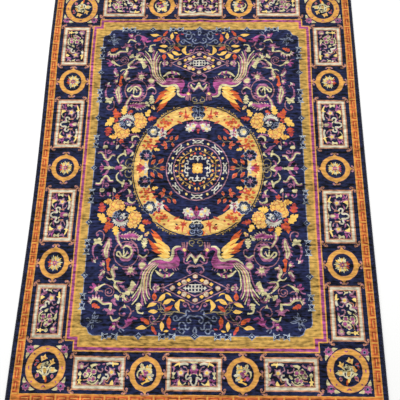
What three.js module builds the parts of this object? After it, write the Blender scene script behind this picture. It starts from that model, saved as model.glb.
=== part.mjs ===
// A room-size hand-knotted pile rug lying on a floor, in millimetres, +Z up.
// +Y runs along the warp to the far end, and the origin is on the floor under the rug's middle.
// The rug is one piece of knotted cloth. A selvedge cord, overcast in the ground wool, runs down
// each long side. Both ends are plain.
import * as THREE from 'three';

// Driving dimensions
const WIDTH = 2740; // over both selvedge cords, at the ends
const LENGTH = 3740;
const THICKNESS = 10; // foundation and clipped pile together
const SELVEDGE = 10; // diameter of the overcast side cord
const SEAM_GAP = 0.3; // between the cloth and each cord

// Hand-woven sides aren't straight: each is drawn in towards the middle of its length
const SIDES = {
  left: { sign: -1, drawnIn: 24, deepestAt: -280, reach: 1750 },
  right: { sign: 1, drawnIn: 5, deepestAt: 0, reach: 1800 },
};

// The fold that the rug was stored with stands up as a ridge at the far end, and dies out
const RIDGE = { height: 20, halfWidth: 90, startsAt: 350 };

// Mesh steps: across the cloth, along it, and along and around a cord
const ACROSS = 40;
const ALONG = 48;
const MIDDLE_CROWDING = 1.7; // crowds the steps across towards the ridge
const CORD_STEPS = 48;
const CORD_SIDES = 8;

const HALF_WIDTH = WIDTH / 2;
const HALF_LENGTH = LENGTH / 2;

/** How far a side is drawn in at the place y, falling off as a cosine squared. */
function drawnIn(side, y) {
  const t = Math.min(1, Math.abs(y - side.deepestAt) / side.reach);
  return side.drawnIn * Math.cos((Math.PI / 2) * t) ** 2;
}

/** The place x of a side's outer edge at the place y. */
function sideEdge(side, y) {
  return side.sign * (HALF_WIDTH - drawnIn(side, y));
}

/** How far the cloth stands off the floor at x, y. */
function lift(x, y) {
  const across = Math.max(0, 1 - Math.abs(x) / RIDGE.halfWidth);
  const along = Math.max(0, (y - RIDGE.startsAt) / (HALF_LENGTH - RIDGE.startsAt));
  return RIDGE.height * across ** 1.5 * along ** 1.5;
}

/** The knotted cloth: a stepped slab, bent to the drawn-in sides and over the ridge. */
function clothGeometry() {
  const slab = new THREE.BoxGeometry(2, LENGTH, THICKNESS, ACROSS, ALONG, 1);
  const place = slab.attributes.position;
  for (let i = 0; i < place.count; i++) {
    const share = place.getX(i);
    const y = place.getY(i);
    const side = share < 0 ? SIDES.left : SIDES.right;
    const clothEdge = Math.abs(sideEdge(side, y)) - SELVEDGE - SEAM_GAP;
    const x = Math.sign(share) * Math.abs(share) ** MIDDLE_CROWDING * clothEdge;
    place.setXYZ(i, x, y, place.getZ(i) + THICKNESS / 2 + lift(x, y));
  }
  return slab;
}

/** A selvedge cord: a round section, with a flat underneath, carried along its side. */
function selvedgeGeometry(side) {
  const line = [];
  for (let i = 0; i <= CORD_STEPS; i++) {
    const y = HALF_LENGTH * ((2 * i) / CORD_STEPS - 1);
    const x = sideEdge(side, y) - (side.sign * SELVEDGE) / 2;
    line.push(new THREE.Vector3(x, y, SELVEDGE / 2));
  }
  const cornerRadius = SELVEDGE / 2 / Math.cos(Math.PI / CORD_SIDES);
  const section = new THREE.Shape();
  for (let i = 0; i < CORD_SIDES; i++) {
    const angle = ((i + 0.5) * 2 * Math.PI) / CORD_SIDES;
    const corner = [cornerRadius * Math.cos(angle), cornerRadius * Math.sin(angle)];
    if (i === 0) section.moveTo(...corner);
    else section.lineTo(...corner);
  }
  section.closePath();
  return new THREE.ExtrudeGeometry(section, {
    steps: CORD_STEPS,
    extrudePath: new THREE.CatmullRomCurve3(line),
    bevelEnabled: false,
  });
}

const pileWool = new THREE.MeshStandardMaterial({ color: 0x20264a, roughness: 0.95, metalness: 0 });
const selvedgeWool = new THREE.MeshStandardMaterial({ color: 0x14172c, roughness: 0.9, metalness: 0 });

const rug = new THREE.Group();

const cloth = new THREE.Mesh(clothGeometry(), pileWool);
cloth.name = 'knotted_cloth';
rug.add(cloth);

for (const [name, side] of Object.entries(SIDES)) {
  const cord = new THREE.Mesh(selvedgeGeometry(side), selvedgeWool);
  cord.name = `selvedge_${name}`;
  rug.add(cord);
}

export default rug;
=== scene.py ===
"""A room-size hand-knotted pile rug lying on a plain pale floor.

The rug's pattern is charted for one quarter, as a weaver charts it, with places in millimetres from
the middle of the rug: a place is a complex number, across + along * 1j. Meshes are in metres.
"""
import cmath
import logging
import math
from collections.abc import Callable, Sequence
from dataclasses import dataclass, field
from enum import Enum

import bmesh
import bpy
import numpy as np
from mathutils import Matrix, Vector
from mathutils.geometry import delaunay_2d_cdt


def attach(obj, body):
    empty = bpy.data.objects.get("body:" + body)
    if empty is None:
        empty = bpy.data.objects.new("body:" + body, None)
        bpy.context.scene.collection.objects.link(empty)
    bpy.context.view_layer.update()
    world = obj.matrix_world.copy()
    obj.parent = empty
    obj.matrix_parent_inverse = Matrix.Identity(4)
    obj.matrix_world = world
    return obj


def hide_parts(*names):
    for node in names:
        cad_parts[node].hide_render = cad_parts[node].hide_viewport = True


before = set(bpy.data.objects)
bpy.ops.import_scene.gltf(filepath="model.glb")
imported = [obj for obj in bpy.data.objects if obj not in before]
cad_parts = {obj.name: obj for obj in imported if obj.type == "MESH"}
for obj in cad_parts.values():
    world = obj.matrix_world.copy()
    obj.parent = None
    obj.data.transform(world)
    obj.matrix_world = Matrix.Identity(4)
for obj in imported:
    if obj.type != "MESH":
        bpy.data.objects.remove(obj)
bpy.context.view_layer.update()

LOG = logging.getLogger("rug")
MM = 0.001
CURVE_STEP = 10.5  # mm between the points of a smooth line
LONG_STEP = 55.0  # mm between the points of the plain ground
SEAM_STEP = 30.0  # mm between the points of a straight line between two yarns
UV_WIDTH = (0.01, 0.98)  # where the cloth starts in the UV square's width, and how far it reaches
DESIGN_BAND = (0.08, 0.91)  # the same in the square's height, for the design
PLAIN_BAND = (0.01, 0.02)  # for the plain side
WALL_BAND = (0.04, 0.03)  # for the walls between them


class Yarn(Enum):
    """The dyed wools, and a darker navy painted as shade along the rug's edge, as sRGB hex values."""

    NAVY = 0x171C37
    # A darker navy than the ground: painted shade along the rug's outer edge and on its sides.
    INDIGO = 0x1C2141
    RIM = 0x171A2E
    TAN = 0xB38F4A
    OLIVE = 0x857854
    HONEY = 0xD0A95C
    GOLD = 0xD69C4C
    AMBER = 0xCA7A38
    STRAW = 0xF4D47E
    YELLOW = 0xEEC05E
    PEACH = 0xE2B769
    APRICOT = 0xC87A4C
    ORANGE = 0xC65A2E
    BRICK = 0xA94A2C
    RED = 0xB44742
    MAGENTA = 0x964678
    MAUVE = 0x945B79
    ROSE = 0xA07480
    OLD_ROSE = 0x8E5F68
    CORAL = 0xB47E5E
    CREAM = 0xC6BC8D
    IVORY = 0xCBC3AA
    WHITE = 0xCAC5B4
    SILVER = 0x9CA5AE
    PALE_BLUE = 0x747E94
    SLATE = 0x6B7386


(NAVY, INDIGO, RIM, TAN, OLIVE, HONEY, GOLD, AMBER, STRAW, YELLOW, PEACH, APRICOT, ORANGE, BRICK, RED,
 MAGENTA, MAUVE, ROSE, OLD_ROSE, CORAL, CREAM, IVORY, WHITE, SILVER, PALE_BLUE, SLATE) = Yarn


class Side(Enum):
    """The two long sides of the rug."""

    LEFT = -1
    RIGHT = 1


def linear(hex_value: int) -> tuple[float, float, float, float]:
    """Turn an sRGB hex value into a linear colour.

    Args:
        hex_value: The colour as 0xRRGGBB.

    Returns:
        Red, green, blue and an alpha of 1.
    """
    parts = [((hex_value >> shift) & 0xFF) / 255 for shift in (16, 8, 0)]
    light = [part / 12.92 if part <= 0.04045 else ((part + 0.055) / 1.055) ** 2.4 for part in parts]
    return (*light, 1.0)


def smooth(path: Sequence[complex], closed: bool = False) -> list[complex]:
    """Run a smooth line through a few places.

    Args:
        path: The places that the line passes.
        closed: Whether the line comes back to its start.

    Returns:
        The places of the line, a curve step apart.
    """
    if closed:
        knots = [path[-1], *path, path[0], path[1]]
    else:
        knots = [2 * path[0] - path[1], *path, 2 * path[-1] - path[-2]]
    line = []
    for before, start, end, after in zip(knots, knots[1:], knots[2:], knots[3:]):
        count = max(1, math.ceil(abs(end - start) / CURVE_STEP))
        for step in range(count):
            t = step / count
            bend = 2 * before - 5 * start + 4 * end - after
            twist = 3 * start - before - 3 * end + after
            line.append(start + 0.5 * t * (end - before + t * (bend + t * twist)))
    return line if closed else [*line, path[-1]]


def ribbon(path: Sequence[complex], widths: Sequence[float], shift: float = 0.0) -> list[complex]:
    """Outline a drawn line that swells and tapers.

    Args:
        path: The places that the line passes.
        widths: Its widths, evenly spaced from its start to its end.
        shift: How far the line lies to the left of the path.

    Returns:
        The outline of the line.
    """
    line = smooth(path)
    last = len(line) - 1
    steps = np.linspace(0, last, len(widths))
    left = []
    right = []
    for i, spot in enumerate(line):
        ahead = line[min(i + 1, last)] - line[max(i - 1, 0)]
        across = 1j * ahead / abs(ahead)
        half = float(np.interp(i, steps, widths)) / 2
        left.append(spot + across * (shift + half))
        right.append(spot + across * (shift - half))
    return left + right[::-1]


def lobed(radius: float, lobes: int = 0, depth: float = 0.0, turn: float = 0.0) -> list[complex]:
    """Outline a round form, plain or with lobes.

    Args:
        radius: Its mean radius.
        lobes: How many lobes it has.
        depth: How far they swell, as a share of the radius.
        turn: The angle of the first lobe, in degrees.

    Returns:
        The outline, about the place 0.
    """
    count = max(8, 5 * lobes, math.ceil(2 * math.pi * radius / CURVE_STEP))
    outline = []
    for i in range(count):
        angle = 2 * math.pi * i / count
        swell = 1 + depth * math.cos(lobes * angle)
        outline.append(cmath.rect(radius * swell, angle + math.radians(turn)))
    return outline


def pointed(outer: float, inner: float, points: int, turn: float = 0.0) -> list[complex]:
    """Outline a star.

    Args:
        outer: The radius of its points.
        inner: The radius of the notches between them.
        points: How many points it has.
        turn: The angle of the first point, in degrees.

    Returns:
        The outline, about the place 0.
    """
    radii = (outer, inner) * points
    return [cmath.rect(r, math.radians(turn) + math.pi * i / points) for i, r in enumerate(radii)]


@dataclass
class Chart:
    """The weaver's chart: outlines filled with yarn, the later ones over the earlier ones."""

    patches: list[tuple[Yarn, list[complex]]] = field(default_factory=list)
    move: Callable[[complex], complex] = lambda spot: spot

    def placed(self, at: complex, degrees: float = 0.0, size: float = 1.0, flip: bool = False,
               stretch: float = 1.0) -> "Chart":
        """Get the same chart, for a motif drawn about its own place 0.

        Args:
            at: Where that place lies here.
            degrees: How far the motif is turned.
            size: How much larger it is drawn.
            flip: Whether it is mirrored across its own level line first.
            stretch: How much longer it is upwards, before it is turned.

        Returns:
            A chart that adds to this one.
        """
        turn = cmath.rect(size, math.radians(degrees))

        def move(spot: complex) -> complex:
            """Take a motif's place to its place in the outer chart."""
            rise = -spot.imag if flip else spot.imag
            return self.move(at + turn * complex(spot.real, rise * stretch))

        return Chart(self.patches, move)

    def fill(self, yarn: Yarn, outline: Sequence[complex], at: complex = 0j) -> None:
        """Fill an outline about a place with a yarn."""
        self.patches.append((yarn, [self.move(at + spot) for spot in outline]))

    def box(self, yarn: Yarn, low: complex, high: complex) -> None:
        """Fill an upright rectangle between two corners."""
        self.fill(yarn, [low, complex(high.real, low.imag), high, complex(low.real, high.imag)])

    def blob(self, yarn: Yarn, *places: complex) -> None:
        """Fill a smooth form that passes the places."""
        self.fill(yarn, smooth(places, closed=True))

    def disc(self, yarn: Yarn, at: complex, radius: float, lobes: int = 0, depth: float = 0.0,
             turn: float = 0.0) -> None:
        """Fill a round or lobed form."""
        self.fill(yarn, lobed(radius, lobes, depth, turn), at)

    def star(self, yarn: Yarn, at: complex, outer: float, inner: float, points: int = 6,
             turn: float = 90.0) -> None:
        """Fill a star."""
        self.fill(yarn, pointed(outer, inner, points, turn), at)

    def line(self, yarn: Yarn, widths: Sequence[float], *path: complex, shift: float = 0.0) -> None:
        """Draw a smooth line that swells and tapers."""
        self.fill(yarn, ribbon(path, widths, shift))

    def oval(self, yarn: Yarn, at: complex, reach: complex) -> None:
        """Fill an upright oval, whose reach is given across and along."""
        self.placed(at, stretch=reach.imag / reach.real).disc(yarn, 0j, reach.real)

    def leaf(self, yarn: Yarn, base: complex, tip: complex, width: float, bend: float = 0.0,
             vein: Yarn | None = None) -> None:
        """Fill a leaf with two pointed ends.

        Args:
            yarn: The yarn of the blade.
            base: Where the leaf starts.
            tip: Where it ends.
            width: How wide it is.
            bend: How far it bows to its left.
            vein: The yarn of a smaller leaf inside it.
        """
        axis = tip - base
        out = 1j * axis / abs(axis)
        left = smooth([base, base + 0.3 * axis + out * (bend * 0.8 + width * 0.42),
                       base + 0.62 * axis + out * (bend + width * 0.4), tip])
        right = smooth([tip, base + 0.62 * axis + out * (bend - width * 0.4),
                        base + 0.3 * axis + out * (bend * 0.8 - width * 0.42), base])
        self.fill(yarn, left[:-1] + right[:-1])
        if vein:
            self.leaf(vein, base + 0.12 * axis + out * bend * 0.5,
                      base + 0.72 * axis + out * bend * 0.9, width * 0.45, bend * 0.6)

    def frond(self, yarn: Yarn, base: complex, tip: complex, width: float, teeth: int = 3,
              bend: float = 0.0) -> None:
        """Fill a leaf with ragged edges.

        Args:
            yarn: The yarn of the blade.
            base: Where the leaf starts.
            tip: Where it ends.
            width: How wide it is over its teeth.
            teeth: How many teeth each edge has.
            bend: How far it bows to its left.
        """
        axis = tip - base
        out = 1j * axis / abs(axis)
        edges = {1: [], -1: []}
        for hand, edge in edges.items():
            for tooth in range(teeth):
                for along, reach in ((0.2, 0.5), (0.85, 1.0)):
                    t = (tooth + along) / (teeth + 0.45)
                    swell = math.sin(math.pi * min(1.0, 0.22 + 0.75 * t))
                    bow = out * bend * math.sin(math.pi * t)
                    edge.append(base + t * axis + bow + hand * out * width / 2 * swell * reach)
        self.fill(yarn, [base, *edges[1], tip, *edges[-1][::-1]])

    def curl(self, yarn: Yarn, at: complex, radius: float, width: float, start: float = 0.0,
             turns: float = 1.2, ball: float = 0.0) -> None:
        """Draw a spiral from its outer end inwards.

        Args:
            yarn: The yarn of the line.
            at: The middle of the spiral.
            radius: The radius where it starts.
            width: The width of the line.
            start: The angle where it starts, in degrees.
            turns: How many turns it makes, which is negative for clockwise.
            ball: The radius of a ball on its inner end.
        """
        count = max(5, math.ceil(abs(turns) * 8))
        path = []
        for i in range(count + 1):
            t = i / count
            path.append(at + cmath.rect(radius * (1 - 0.72 * t), math.radians(start + 360 * turns * t)))
        self.line(yarn, (width, width * 0.8), *path)
        if ball:
            self.disc(yarn, path[-1], ball)

    def comb(self, edge: Yarn, core: Yarn, width: float, teeth: int, *path: complex,
             tips: Yarn | None = None) -> None:
        """Draw a feathery leaf: slanting teeth along both sides of a spine.

        Args:
            edge: The yarn of the teeth.
            core: The yarn of the spine.
            width: The width over the teeth in the middle of the leaf.
            teeth: How many pairs of teeth there are.
            path: The places that the spine passes.
            tips: The yarn of a fine line in each tooth.
        """
        spine = smooth(path)
        for tooth in range(teeth):
            t = (tooth + 0.5) / teeth
            i = round(t * (len(spine) - 2))
            ahead = spine[i + 1] - spine[i]
            ahead /= abs(ahead)
            reach = width / 2 * (0.45 + 0.55 * math.sin(math.pi * t))
            for hand in (1j, -1j):
                tip = spine[i] + reach * ahead * (0.75 + hand)
                self.leaf(edge, spine[i], tip, width * 0.28)
                if tips:
                    self.line(tips, (5, 5), (spine[i] + tip) / 2, tip)
        self.line(core, (width * 0.16, width * 0.42, width * 0.3, width * 0.08), *path)


@dataclass
class Flowers:
    """The flowers that come back in several places of the pattern."""

    def starflower(self, chart: Chart, at: complex, radius: float = 38.0, points: int = 5,
                   turn: float = 90.0) -> None:
        """Draw a star flower: rose points, a pale middle and a gold eye."""
        for yarn, outer, inner in ((MAUVE, 1, 0.6), (ROSE, 0.86, 0.54), (IVORY, 0.58, 0.4)):
            chart.star(yarn, at, radius * outer, radius * inner, points, turn)
        chart.disc(YELLOW, at, radius * 0.32)

    def sprig(self, chart: Chart, at: complex, degrees: float, size: float = 1.0,
              petal: Yarn = MAUVE, cup: Yarn = CREAM) -> None:
        """Draw a small three-petalled sprig that points along its own level line."""
        own = chart.placed(at, degrees, size)
        own.leaf(petal, 0j, 26+0j, 12)
        own.leaf(petal, 2+0j, 17+15j, 10, -2)
        own.leaf(petal, 2+0j, 17-15j, 10, 2)
        own.disc(cup, -1+0j, 7)

    def tulip(self, chart: Chart, at: complex, degrees: float, size: float = 1.0,
              petal: Yarn = MAUVE, cup: Yarn = CREAM) -> None:
        """Draw a tulip with a pale cup, which opens along its own level line."""
        own = chart.placed(at, degrees, size)
        own.leaf(petal, -12+0j, 26+22j, 20, 5)
        own.leaf(petal, -12+0j, 26-22j, 20, -5)
        own.leaf(petal, -10+0j, 30+0j, 22)
        own.blob(cup, -16+0j, -6+11j, 10+9j, 4+0j, 10-9j, -6-11j)

    def peony(self, chart: Chart, at: complex, radius: float, petals: int, turn: float = 0.0,
              stretch: float = 1.0) -> None:
        """Draw an open peony: pointed outer petals, and two wavy contour lines inside them.

        Args:
            chart: Where it is drawn.
            at: Its middle.
            radius: Its radius.
            petals: How many petals it has.
            turn: The angle of the first petal, in degrees.
            stretch: How much longer it is upwards.
        """
        flower = chart.placed(at, stretch=stretch)
        flower.star(YELLOW, 0j, radius * 1.06, radius * 0.84, 2 * petals, turn)
        flower.disc(PEACH, 0j, radius * 0.92, petals, 0.08, turn)
        for petal in range(5):
            middle = cmath.rect(radius * 0.5, math.radians(turn + 20 + 72 * petal))
            flower.disc(APRICOT, middle, radius * 0.39, 5, 0.1, turn)
            flower.disc(PEACH if petal % 2 else YELLOW, middle * 1.03, radius * 0.27, 5, 0.1, turn)
        for share, yarn in ((0.43, APRICOT), (0.33, PEACH), (0.2, YELLOW)):
            flower.disc(yarn, 0j, radius * share, 5, 0.18, turn)

    def posy(self, chart: Chart, at: complex) -> None:
        """Draw the bunch of a side roundel: pale leaves on three sides, red ones outwards."""
        chart.disc(CREAM, at - 8, 40, 9, 0.1)
        for number in range(16):
            own = chart.placed(at - 4, 48 + 17 * number)
            own.leaf(YELLOW if number % 3 == 1 else CREAM, 22+0j, complex(66 - 9 * (number % 2), 0), 15)
        for number in range(4):
            own = chart.placed(at + 6, -34 + 24 * number)
            own.leaf((RED, ORANGE, MAGENTA, ORANGE)[number], 18+0j, complex(46 + 6 * (number % 2), 0), 15)
        for number in range(7):
            own = chart.placed(at - 6, 30 + 360 * number / 7)
            own.leaf(MAUVE if number % 2 else APRICOT, 10+0j, 34+0j, 12)
        chart.disc(MAGENTA, at - 4, 17, 4, 0.2, 45)
        chart.disc(GOLD, at - 4, 7)

    def spray(self, chart: Chart, at: complex) -> None:
        """Draw the bunch of an end roundel, with its leaves inwards and its stem outwards."""
        own = chart.placed(at)
        own.frond(CREAM, -24-22j, -40-70j, 44, 2)
        own.leaf(YELLOW, -34-30j, -42-56j, 16)
        own.leaf(YELLOW, -14-24j, -14-62j, 24)
        own.frond(CREAM, 14-24j, 34-72j, 46, 2)
        own.leaf(APRICOT, 20-40j, 30-58j, 10)
        own.frond(CREAM, 8-26j, 50-34j, 20, 2)
        own.blob(CREAM, -50-20j, -34-36j, -4-38j, 30-30j, 26-4j, 2+20j, -26+14j, -46+0j)
        own.leaf(YELLOW, -40-8j, -6-26j, 20)
        own.frond(IVORY, -20+12j, -68+8j, 34, 2)
        own.frond(IVORY, -18+16j, -56+46j, 40, 2)
        own.leaf(YELLOW, -24+14j, -44+34j, 16)
        own.line(CREAM, (8, 12, 12, 6), 32-26j, 52-16j, 58+8j, 50+26j)
        own.leaf(PEACH, 6+2j, 24-14j, 12)
        own.disc(MAUVE, -12-6j, 12)
        own.disc(MAUVE, 10-20j, 11)
        own.disc(MAUVE, 0+10j, 13)
        own.star(MAGENTA, 0-4j, 18, 8, 5, 100)
        own.leaf(CORAL, 18+6j, 42+2j, 14)
        own.disc(MAUVE, 32+28j, 16, 4, 0.15)
        own.disc(MAGENTA, 31+22j, 10)
        own.disc(ORANGE, 12+36j, 10, 5, 0.2)
        own.star(YELLOW, -12+40j, 17, 8, 5, 60)
        own.line(YELLOW, (10, 9, 14), -34+50j, -4+56j, 24+72j)


@dataclass
class Border:
    """The outer bands: a darker rim of painted shade, key fret, and the main border with its panels and
    roundels.
    """

    half_width: float = 1370.0
    half_length: float = 1870.0
    fret: complex = 1272+1768j
    fret_wide: float = 60.0
    fret_line: float = 6.0
    # The width of the darker navy band painted as shade along the edge.
    rim: float = 14.0
    fret_units_side: int = 19
    fret_units_end: int = 14
    panel_frame: tuple[float, float, float] = (11.0, 19.0, 9.0)
    roundel_outer: complex = 118+120j
    roundel_inner: complex = 80+88j
    flowers: Flowers = field(default_factory=Flowers)

    def draw(self, chart: Chart) -> None:
        """Chart the whole border, from the rim inwards."""
        # A darker navy band along the edge: painted shade, with the navy ground laid over it inside.
        chart.box(RIM, 0j, complex(self.half_width, self.half_length))
        chart.box(NAVY, 0j, complex(self.half_width - self.rim, self.half_length - self.rim))
        self.key_fret(chart)
        for low, high in ((997+193j, 1240+642j), (997+974j, 1240+1387j),
                          (-192+1508j, 192+1744j), (494+1504j, 893+1742j)):
            self.panel(chart, low, high)
        self.near_garland(chart.placed(1118+418j), 1.0)
        self.near_garland(chart.placed(1626j, 90, flip=True), 0.8)
        self.far_garland(chart.placed(1118+1181j))
        self.far_garland(chart.placed(692+1624j, 90, flip=True))
        for at in (1118+0j, 1120+812j, 340+1626j):
            self.roundel(chart, at)
        self.flowers.posy(chart, 1118+0j)
        self.flowers.posy(chart, 1120+812j)
        self.flowers.spray(chart, 342+1625j)
        self.corner_roundel(chart.placed(1098+1590j))

    def key_fret(self, chart: Chart) -> None:
        """Chart the key fret: square hooks on an amber ground, turned over in pairs."""
        inner = self.fret
        chart.box(GOLD, 0j, inner + self.fret_wide * (1+1j))
        chart.box(AMBER, 0j, inner + (self.fret_wide - self.fret_line) * (1+1j))
        chart.box(GOLD, 0j, inner + self.fret_line * (1+1j))
        chart.box(NAVY, 0j, inner)
        for units, span, side in ((self.fret_units_side, inner.imag, True),
                                  (self.fret_units_end, inner.real, False)):
            pitch = span / units
            for unit in range(units):
                odd = unit % 2 == 1
                start = pitch * (unit if odd else unit + 1)
                if side:
                    own = chart.placed(complex(inner.real, start), flip=not odd)
                else:
                    own = chart.placed(complex(start, inner.imag), 90, flip=odd)
                self.hook(own, pitch)

    def hook(self, chart: Chart, pitch: float) -> None:
        """Chart one square hook, which starts at its place 0 and runs upwards."""
        top = pitch - 9
        chart.box(GOLD, 8-4j, complex(self.fret_wide - 4, 4))
        for low, high in ((18+8j, 52+18j), (18+8j, complex(28, top)),
                          (complex(18, top - 10), complex(47, top)), (37+26j, complex(47, top))):
            chart.box(BRICK, low, high)
        chart.box(HONEY, complex(31, 24), complex(34, pitch - 20))

    def panel(self, chart: Chart, low: complex, high: complex) -> None:
        """Chart a panel's ivory frame between coral outlines, with a curl at each corner.

        Args:
            chart: Where it is drawn.
            low: The corner nearest the middle of the rug.
            high: The far corner.
        """
        for across in (low.real, high.real):
            for along in (low.imag, high.imag):
                if across > 0:
                    out = complex(1 if across == high.real else -1, 1 if along == high.imag else -1)
                    self.corner_curl(chart, complex(across, along), out)
        for inset, yarn in zip(np.cumsum((0.0, *self.panel_frame)), (CORAL, IVORY, CORAL, NAVY)):
            chart.box(yarn, low + inset * (1+1j), high - inset * (1+1j))

    def corner_curl(self, chart: Chart, at: complex, out: complex) -> None:
        """Chart the small double curl outside a panel's corner.

        Args:
            chart: Where it is drawn.
            at: The panel's corner.
            out: The signs of the way outwards, across and along.
        """
        bar = complex(-out.real, out.imag)
        heart = at + 9 * out
        chart.line(CORAL, (12, 11), at - 5 * out, heart)
        for hand in (1, -1):
            chart.line(CORAL, (12, 11, 9), heart, heart + hand * 11 * bar + 2 * out,
                       heart + hand * 17 * bar - 6 * out)
            chart.disc(CORAL, heart + hand * 16 * bar - 5 * out, 10)
            chart.disc(OLD_ROSE, heart + hand * 16 * bar - 5 * out, 6)
        chart.disc(OLD_ROSE, heart + 4 * out, 7)

    def roundel(self, chart: Chart, at: complex) -> None:
        """Chart a plain roundel: a gold ring, drawn out to a finial on each of its four sides."""
        outer = self.roundel_outer
        for quarter in range(4):
            reach = outer.imag if quarter % 2 else outer.real
            own = chart.placed(at + cmath.rect(reach, quarter * math.pi / 2), 90 * quarter)
            own.line(CORAL, (18, 14), -4+0j, 24+0j)
            for hand in (1, -1):
                own.line(CORAL, (13, 12, 9), 22+0j, complex(27, 14 * hand), complex(17, 27 * hand))
                own.disc(ROSE, complex(18, 24 * hand), 9)
            own.fill(GOLD, [-14+42j, 2+16j, 11+7j, 11-7j, 2-16j, -14-42j])
        ring = chart.placed(at, stretch=outer.imag / outer.real)
        ring.disc(CORAL, 0j, outer.real + 2)
        ring.disc(GOLD, 0j, outer.real - 1)
        hole = chart.placed(at, stretch=self.roundel_inner.imag / self.roundel_inner.real)
        hole.disc(CORAL, 0j, self.roundel_inner.real + 3)
        hole.disc(NAVY, 0j, self.roundel_inner.real)

    def corner_roundel(self, chart: Chart) -> None:
        """Chart the large corner roundel about its own middle, with a lotus at each diagonal."""
        for quarter in range(4):
            own = chart.placed(0j, 45 + 90 * quarter)
            own.leaf(CREAM, 178+0j, 152+64j, 28, -6)
            own.leaf(CREAM, 178+0j, 152-64j, 28, 6)
            own.star(ROSE, 182+0j, 36, 25, 8, 0)
            own.star(MAGENTA, 182+0j, 32, 19, 8, 0)
            own.disc(PALE_BLUE, 180+0j, 12)
            own.disc(NAVY, 180+0j, 8)
        ring = chart.placed(0j, stretch=1.03)
        ring.disc(CORAL, 0j, 150)
        ring.disc(GOLD, 0j, 146)
        hole = chart.placed(0j, stretch=1.09)
        hole.disc(CORAL, 0j, 105)
        hole.disc(NAVY, 0j, 102)
        chart.line(MAGENTA, (6, 10, 6), -15-138j, -3-130j, 10-138j)
        chart.line(MAGENTA, (6, 11, 6), -15+138j, 1+126j, 16+138j)
        for mark in (-125+0j, 126+2j):
            chart.leaf(MAGENTA, mark - 16j, mark + 16j, 11)
        for mark in (-95-96j, 93-98j, -87+99j, 94+98j):
            chart.leaf(MAGENTA, mark * 0.93, mark * 1.07, 12)
        self.large_bunch(chart)

    def large_bunch(self, chart: Chart) -> None:
        """Chart the bunch in the corner roundel: a large peony, loose leaves, buds and a stem."""
        chart.line(ORANGE, (16, 18, 10), 2+58j, -8+78j, -14+102j)
        chart.line(YELLOW, (22, 12), 6+54j, -2+84j)
        for line in ((-50-40j, -36-14j, -22-6j), (-30-26j, -20-14j)):
            chart.line(CREAM, (7, 7), *line)
        chart.fill(PEACH, [-58-62j, -46-60j, -43-46j, -27-54j, -30-36j, -38-28j, -22-6j, -46-18j, -72-32j,
                           -58-42j])
        chart.fill(PEACH, [-12-66j, 2-72j, 10-95j, 20-86j, 24-78j, 44-82j, 40-64j, 34-42j, 22-50j, 8-56j])
        chart.leaf(APRICOT, 10-60j, 30-74j, 14)
        chart.leaf(GOLD, -56-46j, -34-30j, 14)
        chart.blob(CREAM, -16-44j, 12-34j, 34-28j, 42-8j, 36+8j, 52+22j, 24+50j, 2+60j, -24+50j, -40+26j,
                   -30+0j, -18-12j)
        chart.fill(CREAM, [-94+22j, -74+10j, -68-3j, -52+0j, -38-5j, -32+20j, -38+36j, -60+38j, -78+30j])
        chart.disc(PEACH, -54+16j, 14)
        chart.fill(GOLD, [30-32j, 46-30j, 58-12j, 66-2j, 54+12j, 42+8j, 38-12j])
        chart.fill(CREAM, [40+12j, 68+22j, 56+36j, 34+28j])
        chart.blob(NAVY, -14-20j, 4-24j, 16-10j, 0-6j, -12-8j)
        chart.line(OLIVE, (6, 7, 6), -12-16j, 2-18j, 12-10j)
        chart.blob(TAN, -4+8j, 14+2j, 12+34j, -4+44j, -14+28j)
        for gap in ((-22-18j, -8+2j, 15), (-24+12j, -18+44j, 14), (28-14j, 22+14j, 11),
                    (14+38j, 38+18j, 11), (-8-36j, 10-28j, 9), (-2+44j, 10+34j, 9)):
            chart.leaf(NAVY, *gap)
        for line in ((-14+10j, -12+40j, 0+54j), (16-10j, 24+18j, 12+48j),
                     (-34+14j, -28+38j, -10+50j)):
            chart.line(IVORY, (6, 7, 6), *line)
        for base, tip, wide in ((48-38j, 84-52j, 17), (70-38j, 80-8j, 16)):
            chart.leaf(PALE_BLUE, base, tip, wide + 5)
            chart.leaf(RED, base + 0.1 * (tip - base), tip, wide)
        for base, tip, wide in ((-54+46j, -56+78j, 28), (44+38j, 70+76j, 32)):
            chart.leaf(CORAL, base, tip, wide)
            chart.leaf(MAGENTA, base + 0.1 * (tip - base), base + 0.75 * (tip - base), wide * 0.62)

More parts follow.
